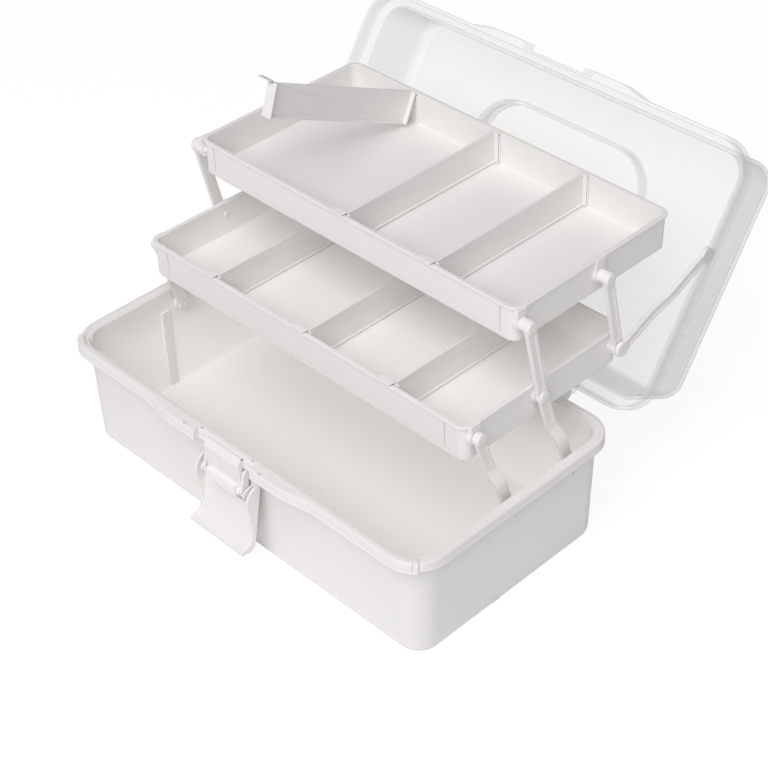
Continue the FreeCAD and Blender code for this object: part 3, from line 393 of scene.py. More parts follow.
@dataclass(frozen=True)
class PlasticFinish:
    """One moulded plastic, white or clear."""

    name: str
    slot: str
    tint: tuple[float, float, float]
    shade: tuple[float, float, float]
    roughness: float
    relief: float
    clear: bool = False
    skin_size: float = 900.0
    # Painted light: emission strength of a warm light painted inside the hollow; inside and the three fades
    # shape its mask.
    glow: float = 0.0
    inside: tuple[float, float, float, float, float] = (0.0, 0.0, 0.0, 0.0, 0.0)
    inside_corner: float = 0.0
    wall_fade: float = 0.0008
    floor_fade: float = 0.0004
    rim_fade: float = 0.012
    cover: tuple[float, float] = (0.14, 0.50)

    def material(self, skin: bpy.types.NodeTree) -> bpy.types.Material:
        """Builds the material.

        Args:
            skin: the shared group of moulded plastic.

        Returns:
            The finished material.
        """
        made = bpy.data.materials.new(self.name)
        made.use_nodes = True
        nodes, links = made.node_tree.nodes, made.node_tree.links
        shader = nodes["Principled BSDF"]
        group = nodes.new("ShaderNodeGroup")
        group.node_tree = skin
        group.inputs["Tint"].default_value = (*self.tint, 1.0)
        group.inputs["Shade"].default_value = (*self.shade, 1.0)
        group.inputs["Roughness"].default_value = self.roughness
        group.inputs["Roughness Spread"].default_value = 0.5 * self.roughness
        group.inputs["Skin Size"].default_value = self.skin_size
        links.new(group.outputs["Color"], shader.inputs["Base Color"])
        links.new(group.outputs["Roughness"], shader.inputs["Roughness"])
        bump = nodes.new("ShaderNodeBump")
        bump.inputs["Strength"].default_value = self.relief
        bump.inputs["Distance"].default_value = 0.0002
        links.new(group.outputs["Height"], bump.inputs["Height"])
        links.new(bump.outputs["Normal"], shader.inputs["Normal"])
        shader.inputs["IOR"].default_value = 1.49
        if self.clear:
            self.make_clear(nodes, links, shader)
        # Painted light: warm emission inside the hollow, from a part that is no lamp.
        if self.glow:
            self.make_glow(nodes, links, shader)
        return made

    def make_glow(self, nodes: bpy.types.Nodes, links: bpy.types.NodeLinks, shader: bpy.types.Node) -> None:
        """Paints a faint warm light as emission into the surfaces inside the hollow only: painted light,
        standing in for light that comes through thin walls.

        The hollow is a rounded rectangle seen from above. Its mask is a smooth step of the
        length of (|x| - a, |y - m| - b), each no less than 0, where a and b reach to the
        middles of the round corners, times a step up from the floor and a step down at the rim.
        """
        half, front, back, low, high = (value * MILLIMETRE for value in self.inside)
        corner, middle = self.inside_corner * MILLIMETRE, (front + back) / 2
        reach = (half - corner, (back - front) / 2 - corner, 1.0)
        place, parts = nodes.new("ShaderNodeTexCoord"), nodes.new("ShaderNodeSeparateXYZ")
        links.new(place.outputs["Object"], parts.inputs["Vector"])
        vector = place.outputs["Object"]
        for operation, values in (
            ("SUBTRACT", (0.0, middle, 0.0)), ("ABSOLUTE", None), ("SUBTRACT", reach),
            ("MAXIMUM", (0.0, 0.0, 0.0)), ("MULTIPLY", (1.0, 1.0, 0.0)), ("LENGTH", None),
        ):
            measure = nodes.new("ShaderNodeVectorMath")
            measure.operation = operation
            links.new(vector, measure.inputs[0])
            if values:
                measure.inputs[1].default_value = values
            vector = measure.outputs["Value" if operation == "LENGTH" else "Vector"]
        mask = None
        for value, start, end in (
            (vector, corner, corner - self.wall_fade), (parts.outputs["Z"], low, low + self.floor_fade),
            (parts.outputs["Z"], high, high - self.rim_fade),
        ):
            step = nodes.new("ShaderNodeMapRange")
            step.inputs["From Min"].default_value = start
            step.inputs["From Max"].default_value = end
            links.new(value, step.inputs["Value"])
            if mask is None:
                mask = step.outputs["Result"]
                continue
            product = nodes.new("ShaderNodeMath")
            product.operation = "MULTIPLY"
            links.new(mask, product.inputs[0])
            links.new(step.outputs["Result"], product.inputs[1])
            mask = product.outputs[0]
        # The painted light's warm colour, fed to the emission.
        warm = nodes.new("ShaderNodeMix")
        warm.data_type = "RGBA"
        warm.inputs["A"].default_value = (0.0, 0.0, 0.0, 1.0)
        warm.inputs["B"].default_value = (1.0, 0.965, 0.92, 1.0)
        links.new(mask, warm.inputs["Factor"])
        links.new(warm.outputs["Result"], shader.inputs["Emission Color"])
        shader.inputs["Emission Strength"].default_value = self.glow

    def make_clear(self, nodes: bpy.types.Nodes, links: bpy.types.NodeLinks, shader: bpy.types.Node) -> None:
        """Lets light through, least where the surface is seen edge on."""
        shader.inputs["Transmission Weight"].default_value = 0.1
        facing = nodes.new("ShaderNodeLayerWeight")
        facing.inputs["Blend"].default_value = 0.4
        cover = nodes.new("ShaderNodeMapRange")
        cover.inputs["From Min"].default_value = 0.05
        cover.inputs["From Max"].default_value = 0.95
        cover.inputs["To Min"].default_value, cover.inputs["To Max"].default_value = self.cover
        links.new(facing.outputs["Facing"], cover.inputs["Value"])
        links.new(cover.outputs["Result"], shader.inputs["Alpha"])


WHITE = PlasticFinish(
    "white_moulded_plastic", "white_plastic", (0.93, 0.918, 0.905), (0.91, 0.897, 0.882), 0.36, 0.12,
)
# The tub and the lower tray carry painted light: warm emission inside their hollows.
TUB_WHITE_PAINTED_GLOW = replace(
    WHITE, name="white_moulded_tub", glow=0.12, inside=(155.2, -81.4, 81.4, 2.2, 81.0),
    inside_corner=14.7,
)
LOWER_WHITE_PAINTED_GLOW = replace(
    WHITE, name="white_moulded_lower_tray", glow=0.06, inside=(139.3, -26.6, 109.4, 114.0, 138.0),
    inside_corner=5.2,
)
CLEAR = PlasticFinish(
    "clear_moulded_plastic", "clear_shell", (0.95, 0.945, 0.95), (0.92, 0.915, 0.92), 0.12, 0.03,
    clear=True,
)


@dataclass
class Workshop:
    """Puts skins into meshes, dresses them and hangs them on the case's bodies."""

    skin: bpy.types.NodeTree = field(default_factory=moulding_group)
    materials: dict = field(default_factory=dict)

    def dress(self, piece: bpy.types.Object, finish: PlasticFinish) -> None:
        """Gives a piece its finish."""
        if finish.name not in self.materials:
            self.materials[finish.name] = finish.material(self.skin)
        piece.data.materials.clear()
        piece.data.materials.append(self.materials[finish.name])

    def even_out(self, piece: bpy.types.Object) -> None:
        """Weights the corner normals by face area, so that flat faces look flat."""
        weigh = piece.modifiers.new("even_normals", "WEIGHTED_NORMAL")
        weigh.keep_sharp = True
        weigh.weight = 90
        self.settle(piece)

    def settle(self, piece: bpy.types.Object) -> None:
        """Makes what the modifiers give the piece's own mesh."""
        graph = bpy.context.evaluated_depsgraph_get()
        raw, made = piece.data, bpy.data.meshes.new_from_object(piece.evaluated_get(graph))
        piece.modifiers.clear()
        piece.data = made
        bpy.data.meshes.remove(raw)
        made.name = piece.name

    def cut(self, piece: bpy.types.Object, holes: Sequence[Shell]) -> None:
        """Takes skins away from a piece with an exact Boolean.

        Args:
            piece: the object that is cut.
            holes: the skins, in millimetres.
        """
        tool = bpy.data.objects.new(piece.name + "_holes", skin_mesh("holes", holes))
        bpy.context.scene.collection.objects.link(tool)
        take = piece.modifiers.new("holes", "BOOLEAN")
        take.operation, take.solver, take.object = "DIFFERENCE", "EXACT", tool
        self.settle(piece)
        hole_mesh = tool.data
        bpy.data.objects.remove(tool)
        bpy.data.meshes.remove(hole_mesh)
        piece.data.set_sharp_from_angle(angle=SMOOTH_BELOW)

    def make(
        self, name: str, shells: Sequence[Shell], body: str, finish: PlasticFinish,
        replaces: Sequence[str] = (), holes: Optional[Sequence[Shell]] = None,
    ) -> bpy.types.Object:
        """Makes one piece of one or more closed skins.

        Args:
            name: the piece's name.
            shells: its skins, in millimetres.
            body: the body that it rides on.
            finish: what it is made of.
            replaces: the nodes that it stands for.
            holes: skins that are taken away from the piece.

        Returns:
            The new object.
        """
        mesh = skin_mesh(name, shells)
        mesh.shade_smooth()
        mesh.set_sharp_from_angle(angle=SMOOTH_BELOW)
        piece = bpy.data.objects.new(name, mesh)
        bpy.context.scene.collection.objects.link(piece)
        if holes is not None:
            self.cut(piece, holes)
        self.even_out(piece)
        self.dress(piece, finish)
        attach(piece, body)
        if replaces:
            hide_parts(*replaces)
        LOG.info("%s: %d faces on %s", name, len(piece.data.polygons), body)
        return piece


# ---------------------------------------------------------------------------- sizes
@dataclass(frozen=True)
class Linkage:
    """Where the pivots stand with the case open, as (Y, Z)."""

    front_base: tuple[float, float] = (0.8, 66.8)
    rear_base: tuple[float, float] = (55.5, 66.8)
    lower_reach: float = 66.0
    lower_lean: float = 18.3
    upper_reach: float = 59.25
    upper_lean: float = 13.0
    rear_spacing: float = 69.2
    rear_drop: float = 1.7
    hinge: tuple[float, float] = (96.4, 76.2)
    opening: float = 122.8
    link_on_lid: tuple[float, float] = (-19.5, 101.5)

    def lower_step(self) -> np.ndarray:
        """From a base pivot to the lower tray's pivot above it."""
        lean = math.radians(self.lower_lean)
        return self.lower_reach * np.array([-math.sin(lean), math.cos(lean)])

    def upper_step(self) -> np.ndarray:
        """From a lower tray's pivot to the upper tray's pivot above it."""
        lean = math.radians(self.upper_lean)
        return self.upper_reach * np.array([-math.sin(lean), math.cos(lean)])

    def front(self) -> np.ndarray:
        """The lower tray's front pivot."""
        return np.array(self.front_base) + self.lower_step()

    def middle(self) -> np.ndarray:
        """The lower tray's middle pivot."""
        return np.array(self.rear_base) + self.lower_step()

    def rear(self) -> np.ndarray:
        """The lower tray's rear pivot."""
        return self.middle() + np.array([self.rear_spacing, -self.rear_drop])

    def upper_front(self) -> np.ndarray:
        """The upper tray's front pivot."""
        return self.middle() + self.upper_step()

    def lid_end(self) -> np.ndarray:
        """The link's upper end."""
        shut = np.array([[0.0, *self.link_on_lid]])
        return turned(shut, self.hinge, -self.opening)[0, 1:]


LINKAGE = Linkage()


@dataclass(frozen=True)
class Layers:
    """The distances along X at which the arms run past the trays and the tub's end walls."""

    tray_arm: float = 143.2
    base_arm: float = 148.9
    arm: float = 3.2
    link_low: float = 146.8
    link_high: float = 148.86
    link: float = 2.8


LAYERS = Layers()


@dataclass(frozen=True)
class Pivot:
    """The round sizes that the arms' pivots share."""

    boss: float = 5.2
    pin: float = 2.2
    spacer: float = 4.0
    head: float = 4.4
    crown: float = 1.3


PIVOT = Pivot()


# ------------------------------------------------------------------------------ tub
@dataclass
class Tub:
    """The deep base with its stepped rim, latch tongue, arm bosses and rear hinge ears."""

    half: float = 165.0
    deep: float = 91.2
    bend: float = 24.5
    height: float = 83.0
    rim_height: float = 8.4
    skirt: float = 1.8
    wall_inset: float = 7.56
    foot_inset: float = 9.53
    inner_inset: float = 9.83
    inner_foot_inset: float = 11.77
    floor: float = 2.4
    rim_top: float = 4.3
    set_back: float = 2.2
    set_down: float = 1.2
    bead: float = 0.25
    swell: float = 4.2
    swell_half: float = 50.0
    swell_taper: float = 30.0
    notch: float = 25.8
    mark_angle: float = 7.4
    tongue: float = 16.0
    barrel: float = 3.4
    pillar: tuple[float, float] = (-17.5, -9.5)
    pillar_top: float = 66.0

    def profiles(self) -> tuple[np.ndarray, np.ndarray]:
        """The wall's section in front, and at the ends and behind, point for point alike."""
        top, under = self.height, self.height - self.rim_height
        back, low, bead, skirt = self.set_back, top - self.set_down, self.bead, self.skirt
        foot = [(40, 0), (self.foot_inset, 0)]
        sole = [(self.inner_foot_inset, self.floor), (40, self.floor)]
        front = foot + [
            (self.wall_inset, under + 6), (skirt, under + 6), (skirt, under), (-bead, under),
            (-bead, under + 1.1), (0, under + 1.5), (0, top), (self.rim_top, top),
            (self.rim_top + 0.7, top - 1.4), (self.inner_inset, top - 7),
        ] + sole
        rest = foot + [
            (self.wall_inset, under + 5), (back + skirt, under + 5), (back + skirt, under),
            (back - bead, under), (back - bead, under + 1.1), (back, under + 1.5), (back, low),
            (back + 3.3, low), (back + 3.6, low - 0.9), (self.inner_inset - 0.2, low - 1.0),
        ] + sole
        front_bends = [0, 5, 0.5, 0.3, 0.4, 0.3, 0.3, 0.3, 1.8, 0.5, 0.8, 3.0, 4.2, 0]
        rest_bends = [0, 5, 0.5, 0.3, 0.4, 0.3, 0.3, 0.3, 1.5, 0.5, 0.3, 0.7, 4.2, 0]
        return soften(front, front_bends, 5), soften(rest, rest_bends, 5)

    def shell(self) -> Shell:
        """The wall: both profiles carried round, each over its own part of the way.

        The front profile holds between the middles of the two front corners, where a short
        step is cut into the upper part of the outer face.  The outer face in front comes
        out by a smooth step of the distance from the middle, except behind the latch.
        """
        front, rest = self.profiles()
        edge, wide = self.notch, self.swell_half
        taper = wide + np.linspace(0.0, self.swell_taper, 6)
        right = np.concatenate([[edge - 0.05, edge + 0.05, 40], taper, [110]])
        stops = np.concatenate([-right[::-1], [0], right])
        mark = self.mark_angle
        before = [0, 9, 18, 27, 45 - mark - 0.5, 45 - mark, 44.9]
        angles = np.array(before + [90 - angle for angle in reversed(before)])
        first, second = (
            inset_loops(self.half, self.deep, self.bend, profile, stops, angles=angles)
            for profile in (front, rest)
        )
        count, turns = len(stops), len(angles)
        forward = np.zeros(first.shape[1], bool)
        forward[:count] = True
        forward[count: count + turns] = angles < 45
        forward[-turns:] = angles[::-1] < 45
        rings = np.where(forward[None, :, None], first, second)
        outer = (front[:, 0] < 1.0)[:, None]
        off = np.abs(stops)[None, :]
        out = self.swell * (1 - ease(off, wide, wide + self.swell_taper)) * (off > edge)
        rings[:, :count, 1] -= outer * out
        marked = np.abs(angles - 45) < mark + 0.01
        cut = np.concatenate([np.zeros(count, bool), marked, np.zeros(2 * turns, bool), marked[::-1]])
        upper = outer & (front[:, 1:] > self.height - self.rim_height + 3.4)
        centre = np.array([self.half - self.bend, self.bend - self.deep])
        spoke = rings[..., :2] - centre * np.sign(rings[..., :1] + 1e-9) ** np.array([1, 0])
        spoke /= np.maximum(np.linalg.norm(spoke, axis=-1, keepdims=True), 1e-6)
        rings[..., :2] -= 1.0 * (upper & cut[None, :])[..., None] * spoke
        return Shell(rings)

    def holes(self) -> list:
        """Small blind holes in the rim's top beside the latch, as upright pins to cut."""
        spots = (
            (-35.5, -93.5, 1.6), (-23.9, -89.6, 1.1), (-14.7, -89.0, 1.0), (22.8, -89.2, 1.1),
            (34.5, -94.0, 1.3),
        )
        turn = np.linspace(0, 2 * math.pi, 18, endpoint=False)
        level = np.array([self.height - 2.6, self.height + 1.0])[:, None]
        return [
            Shell(np.stack(np.broadcast_arrays(
                across + radius * np.cos(turn)[None], along + 0.85 * radius * np.sin(turn)[None], level,
            ), axis=-1)) for across, along, radius in spots
        ]

    def tongue_shells(self) -> list:
        """The tongue before the rim, its round top bar, and the ribbed barrel at its foot."""
        root, top = 3.6 - self.deep, self.height
        along, up = LATCH_PIVOT
        outline = [
            (root, top - 1.1), (-self.deep - 0.9, top - 1.1), (-self.deep - 0.9, top - 0.1),
            (-self.deep - 2.2, top - 0.1), (-self.deep - 5.4, top - 5.2), (-self.deep - 4.9, top - 6.6),
            (-self.deep - 3.4, up + 5.0), (along - 1.4, up + 1.2), (along + 0.9, up - 0.6),
            (-self.deep + 0.1, top - 5.4), (-self.deep + 1.5, top - 3.2), (root, top - 3.2),
        ]
        bends = [0.1, 0.3, 0.5, 1.2, 1.0, 0.5, 0.5, 0.6, 0.6, 2.0, 1.0, 0.1]
        steps = np.linspace(0, 1, 25)
        ribs = np.stack([
            along - 4.0 - 0.35 * np.sin(math.pi * steps) - 0.45 * np.abs(np.sin(4 * math.pi * steps)),
            up + 4.6 - 7.6 * steps,
        ], axis=1)
        strip = np.vstack([[(along + 0.5, up + 4.6)], ribs, [(along + 0.5, up - 3.0)]])
        leg = [
            (along - 2.4, up - 2.4), (along + 0.5, up - 3.5), (along + 3.0, up - 1.6),
            (along + 3.4, up + 4.0), (along + 4.6, up + 16.6), (along + 0.2, up + 15.8),
            (along - 1.7, up + 6.0), (along - 3.4, up + 1.4),
        ]
        return [
            plank(outline, -self.tongue, self.tongue, 0.8, bends),
            drum(0.15 - self.tongue, self.tongue - 0.15, LATCH_PIVOT, self.barrel),
            plank(strip, -13.7, 13.7, 0.25, 0.15),
        ] + [on_side(plank(leg, self.tongue + 0.3, self.tongue + 2.4, 0.4, 1.0), side) for side in Side]

    def pillars(self, side: Side) -> Shell:
        """An upright rib inside an end wall, leaning with the wall."""
        near, far = self.pillar
        face = self.half - self.inner_foot_inset - 1.2
        rib = block((face, near, 1.0), (face + 3.0, far, self.pillar_top), 0.9).rings
        lean = (self.inner_foot_inset - self.inner_inset) / (self.height - self.floor)
        rib[..., 0] += lean * (rib[..., 2] - self.floor)
        return on_side(Shell(rib), side)

    def boss(self, side: Side, pivot: tuple[float, float]) -> Shell:
        """A round boss inside an end wall for an arm's pin."""
        face, wall = 152.4, 156.2
        line = [(face + 0.5, 0), (face + 0.5, 2.6), (face, 3.0), (face, 6.0), (wall, 6.0), (wall, 0)]
        return on_side(lathe(line, pivot, 0.4), side)

    def pin_marks(self, side: Side) -> list:
        """Shallow round marks of the arms' pins on the outside of an end wall, to cut."""
        face = self.half - self.wall_inset
        spots = ((52.6, 65.2, 1.5, 1.0), (-0.6, 64.6, 1.1, 0.75))
        return [
            on_side(drum(face - deep, face + 3, (along, up), size, 0.1), side)
            for along, up, size, deep in spots
        ]

    def ears(self, side: Side) -> list:
        """The two ears of one rear hinge: a web with a round end about the hinge."""
        along, up = LINKAGE.hinge
        turn = np.radians(np.linspace(-118, 90, 15))
        arc = np.stack([along + 4.5 * np.cos(turn), up + 4.5 * np.sin(turn)], axis=1)
        outline = np.vstack([[(self.deep - 1, up + 4.5), (self.deep - 1, up - 0.8)], arc])
        pairs = ((HINGE_AT - 18.4, HINGE_AT - 14.4), (HINGE_AT + 14.4, HINGE_AT + 18.4))
        return [on_side(plank(outline, low, high, 0.5, 0.2), side) for low, high in pairs]

    def build(self, shop: Workshop) -> None:
        """Makes the tub's pieces."""
        marks = [mark for side in Side for mark in self.pin_marks(side)]
        shop.make("tub", [self.shell()], "base", TUB_WHITE_PAINTED_GLOW, ["base_tub"], holes=self.holes() + marks)
        shells = self.tongue_shells()
        for side in Side:
            for pivot in (LINKAGE.front_base, LINKAGE.rear_base):
                shells.append(self.boss(side, pivot))
            shells.extend(self.ears(side))
            shells.append(self.pillars(side))
        shop.make("tub_fittings", shells, "base", WHITE)


# ---------------------------------------------------------------------------- trays
@dataclass
class Tray:
    """A shallow tray with a lip, two upright seams in front and round bosses at its ends."""

    name: str
    half: float
    deep: float
    height: float
    front: float
    floor_height: float
    pivots: tuple
    divider_places: tuple
    finish: PlasticFinish = WHITE
    corner: float = 8.0
    lip: float = 1.2
    lip_height: float = 1.6
    wall: float = 1.8
    floor: float = 1.8
    seam: float = 125.0
    seam_depth: float = 1.25
    draft: float = 0.8

    @property
    def lean(self) -> float:
        """How far a wall comes in from its top to its foot."""
        return self.height * math.tan(math.radians(self.draft))

    def shell(self) -> Shell:
        """The wall profile carried round, with a shallow window function cut at each seam."""
        lean = self.lean
        foot, inner = self.lip + lean, self.lip + self.wall
        under = self.height - self.lip_height
        low, high = 2 * self.lip_height, self.height - 2 * self.lip_height
        level = np.array([low - 0.2, low + 0.2, high - 0.2, high + 0.2])
        wall = np.stack([self.lip + lean * (1 - level / self.height), level], axis=1)
        points = np.vstack([
            [(30, 0), (foot, 0)], wall,
            [(self.lip, under), (0, under), (0, self.height), (inner, self.height),
             (inner + lean, self.floor), (30, self.floor)],
        ])
        bends = [0, 2.4] + [0.05] * 4 + [0.3, 0.35, 0.7, 0.5, 1.0, 0]
        profile = soften(points, bends, 4)
        offsets = np.array([-0.55, -0.45, 0.45, 0.55])
        stops = np.concatenate([offsets - self.seam, [-60, 0, 60], offsets + self.seam])
        rings = inset_loops(self.half, self.deep, self.corner, profile, stops)
        columns = np.flatnonzero(np.abs(np.abs(stops) - self.seam) < 0.5)
        outer = np.arange(len(profile)) < int(np.argmax(profile[:, 1]))
        rows = outer & (profile[:, 1] > low) & (profile[:, 1] < high)
        rings[np.ix_(np.flatnonzero(rows), columns, [1])] += self.seam_depth
        return Shell(rings)

    def end_boss(self, side: Side, across: float, rise: float) -> list:
        """A round boss on an end wall and the flat tab that joins it to the lip."""
        inner, outer = self.half - self.lip - 1.2, self.half + 0.9
        tab = block((inner + 0.15, across - 4.2, rise), (outer - 0.1, across + 4.2, self.height - 0.1), 0.5)
        return [on_side(drum(inner, outer, (across, rise), PIVOT.boss), side), on_side(tab, side)]

    def guides(self) -> list:
        """Small upright ribs in pairs inside the front and back walls."""
        near, far = self.deep - 2.2, self.deep - 4.6
        low, high = self.floor * 0.6, self.height - self.lip_height - 0.7
        ribs = []
        for position in self.divider_places:
            for sign in (-1, 1):
                start, stop = position + sign * 4.3, position + sign * 5.3
                for end in (-1, 1):
                    ribs.append(block((start, end * near, low), (stop, end * far, high), 0.3, 2))
        return ribs

    def build(self, shop: Workshop) -> None:
        """Makes the tray in its own frame and puts it in its open place."""
        shells = [self.shell()] + self.guides()
        for side in Side:
            for across, rise in self.pivots:
                shells.extend(self.end_boss(side, across, rise))
        middle = self.front + self.deep
        placed = [shell.moved(0, middle, self.floor_height) for shell in shells]
        shop.make(self.name + "_shell", placed, self.name, self.finish, [self.name])


# ------------------------------------------------------------------------- dividers
@dataclass
class Divider:
    """A slotted-in wall with end flanges, a foot rib and a clip over the tray's front rim."""

    node: str
    position: float
    tray: Tray
    tilt: float = 0.0
    thickness: float = 1.6
    play: float = 0.3

    @property
    def inset(self) -> float:
        """From the tray's outer face to the divider's end at its top."""
        return self.tray.lip + self.tray.wall + self.play + self.tray.lean

    def shells(self) -> list:
        """Planks about the top of the divider's rear end, reaching to negative Y."""
        inset = self.inset
        height = self.tray.height - self.tray.floor - self.play
        length = 2 * (self.tray.deep - inset)
        foot, lip, half = length - 2.3, length + inset + 0.3, self.thickness / 2
        plate = [(-foot, -height), (0, -height), (0, 0), (-length, 0)]
        rear = [(-1.4, -height), (0, -height), (0, 0), (-1.4, 0)]
        front = [(-foot, -height), (1.4 - foot, -height), (1.4 - length, 0), (-length, 0)]
        clip = [
            (0.9 - length, -0.6), (0.9 - length, 1.15), (-lip - 0.4, 1.15), (-lip - 0.4, 0.14),
            (0.35 - length, 0.14), (0.35 - length, -0.6),
        ]
        return [
            plank(plate, -half, half, 0.35, [2, 0.3, 0.6, 0.3]),
            plank(rear, -4, 4, 0.4, 0.3).moved(0, 0.06, 0.08),
            plank(front, -4, 4, 0.4, 0.3).moved(0, -0.06, 0.07),
            plank(clip, -10.0, half - 0.15, 0.25, [0.1, 0.4, 0.4, 0.3, 0.1, 0.1]),
            block((-2, -foot + 0.1, -height - 0.05), (2, -0.2, 1.6 - height), 0.5),
        ]

    def build(self, shop: Workshop) -> None:
        """Puts the divider in its tray."""
        rear = self.tray.front + 2 * self.tray.deep - self.inset
        top = self.tray.floor_height + self.tray.height
        placed = [
            shell.moved(self.position, rear, top).turned((rear, top), self.tilt)
            for shell in self.shells()
        ]
        shop.make(self.node + "_wall", placed, self.node, WHITE, [self.node])


# ----------------------------------------------------------------------------- arms
@dataclass
class Bar:
    """A flat bar with a groove along its outer face and round ends.

    The bar runs up its own Z axis; its X steps from one layer to another by a smooth step
    between two fractions of its length, and its half width at a distance d outside either
    pivot is the root of the end radius squared less d squared.
    """

    length: float
    low: float
    high: float
    thickness: float = 3.2
    width: float = 7.6
    groove: float = 0.7
    groove_from: float = 6.2
    start: float = 0.0

    def shell(self) -> Shell:
        """The bar's rings, one at each station."""
        half = self.width / 2
        quarter = np.linspace(0.06, math.pi / 2, 8)
        low, high = self.start * self.length, self.length
        marks = [self.groove_from - 0.6, self.groove_from, high - 6.8, high - 6.2]
        step = np.linspace(0.34, 0.60, 13) * self.length if self.low != self.high else []
        inner = np.unique(np.concatenate([marks, step]))
        station = np.concatenate([low - half * np.cos(quarter), inner, high + half * np.cos(quarter[::-1])])
        beyond = np.maximum(np.maximum(low - station, station - high), 0.0)
        spread = np.sqrt(np.maximum(half**2 - beyond**2, 0.0))[:, None] / half
        shift = self.low + (self.high - self.low) * ease(station, 0.36 * self.length, 0.58 * self.length)
        deep = self.groove * ease(station, marks[0], marks[1]) * (1 - ease(station, marks[2], marks[3]))
        t, lip = self.thickness, 0.45
        section = np.array([
            (lip, -half), (t - lip, -half), (t - 0.13, 0.13 - half), (t, lip - half), (t, -2.0), (t, -1.7),
            (t, 1.7), (t, 2.0), (t, half - lip), (t - 0.13, half - 0.13), (t - lip, half), (lip, half),
            (0.13, half - 0.13), (0, half - lip), (0, lip - half), (0.13, 0.13 - half),
        ])
        sunk = (np.abs(section[:, 1]) < 1.8) & (section[:, 0] == t)
        across = section[None, :, 0] - deep[:, None] * sunk[None] + shift[:, None]
        along = section[None, :, 1] * spread
        return Shell(np.stack([across, along, station[:, None] + 0 * along], axis=-1))


def button(face: float, centre: tuple[float, float]) -> Shell:
    """A round arm head as thick as the arm, its rim rounded over to a flat crown outside."""
    back, crown, radius = face - LAYERS.arm - 0.08, PIVOT.crown, PIVOT.head
    line = [(back, 0), (back, radius), (face + crown, radius), (face + crown + 0.1, 0)]
    return lathe(line, centre, [0, 0.2, crown, 0], 32)


@dataclass
class Arms:
    """The four pairs of arms and links, worked out for the right-hand end."""

    tray_half: tuple[float, float] = (142.0, 138.4)

    def pivot_set(self, tray_half: float, centre: tuple[float, float]) -> list:
        """What joins an arm to a tray: a spacer, a pin through the wall and a button."""
        spacer = drum(tray_half + 0.6, LAYERS.tray_arm + 0.2, centre, PIVOT.spacer, 0.3)
        pin = drum(tray_half - 4.2, LAYERS.tray_arm + 1, centre, PIVOT.pin, 0.5)
        face = LAYERS.tray_arm + LAYERS.arm
        parts = [pin, button(face, centre)]
        return parts if tray_half + 1.3 > LAYERS.tray_arm else parts + [spacer]

    def base_set(self, centre: tuple[float, float]) -> list:
        """What joins an arm to the tub: a round end and a pin into the tub's boss."""
        face = LAYERS.base_arm + LAYERS.arm
        return [
            drum(LAYERS.base_arm - 0.08, face + 0.08, centre, PIVOT.boss, 0.4),
            drum(face - 1, face + 2.2, centre, PIVOT.pin, 0.4),
            drum(LAYERS.base_arm - 0.5, LAYERS.base_arm + 0.5, centre, 2.4, 0.4),
        ]

    def lower(self, pivot: tuple[float, float]) -> list:
        """A bar from the tub to the lower tray."""
        reach = LINKAGE.lower_reach
        bar = Bar(reach, LAYERS.base_arm, LAYERS.tray_arm, groove_from=0.62 * reach)
        return [bar.shell().moved(0, *pivot).turned(pivot, LINKAGE.lower_lean)] + self.base_set(pivot)

    def straight(self, foot: np.ndarray) -> Shell:
        """A straight bar between the two trays."""
        bar = Bar(LINKAGE.upper_reach, LAYERS.tray_arm, LAYERS.tray_arm)
        return bar.shell().moved(0, *foot).turned(tuple(foot), LINKAGE.upper_lean)

    def link(self) -> list:
        """The bar from the lower tray's rear pivot to the lid's end wall."""
        foot, end = LINKAGE.rear(), LINKAGE.lid_end()
        run, climb = end - foot
        bar = Bar(math.hypot(run, climb), LAYERS.link_low, LAYERS.link_high, LAYERS.link, groove_from=6.2)
        placed = bar.shell().moved(0, *foot).turned(tuple(foot), -math.degrees(math.atan2(run, climb)))
        top = LAYERS.link_high + LAYERS.link
        return [
            placed,
            drum(LAYERS.link_low - 0.08, LAYERS.link_low + LAYERS.link + 0.12, tuple(foot), PIVOT.boss),
            drum(LAYERS.link_high - 0.08, top + 0.1, tuple(end), PIVOT.boss),
            drum(self.tray_half[0] - 4.2, LAYERS.link_low + 0.5, tuple(foot), PIVOT.pin, 0.5),
        ]

    def build(self, shop: Workshop) -> None:
        """Makes all arms at both ends."""
        low, high = self.tray_half
        front, middle = tuple(LINKAGE.front()), tuple(LINKAGE.middle())
        upper_front = tuple(LINKAGE.upper_front())
        upper_rear = tuple(LINKAGE.rear() + LINKAGE.upper_step())
        outer = LAYERS.tray_arm + LAYERS.arm + 0.07
        foot = drum(LAYERS.tray_arm - 0.07, outer, tuple(LINKAGE.rear()), PIVOT.boss)
        sets = {
            "front_arm": self.lower(LINKAGE.front_base) + self.pivot_set(low, front),
            "long_arm": self.lower(LINKAGE.rear_base) + [self.straight(LINKAGE.middle())]
            + self.pivot_set(low, middle) + self.pivot_set(high, upper_front),
            "rear_arm": [self.straight(LINKAGE.rear())] + self.pivot_set(high, upper_rear) + [foot],
            "lid_link": self.link(),
        }
        for name, shells in sets.items():
            for side in Side:
                node = f"{name}_{side.word}"
                placed = [on_side(shell, side) for shell in shells]
                shop.make(node + "_bar", placed, name + "s", WHITE, [node])


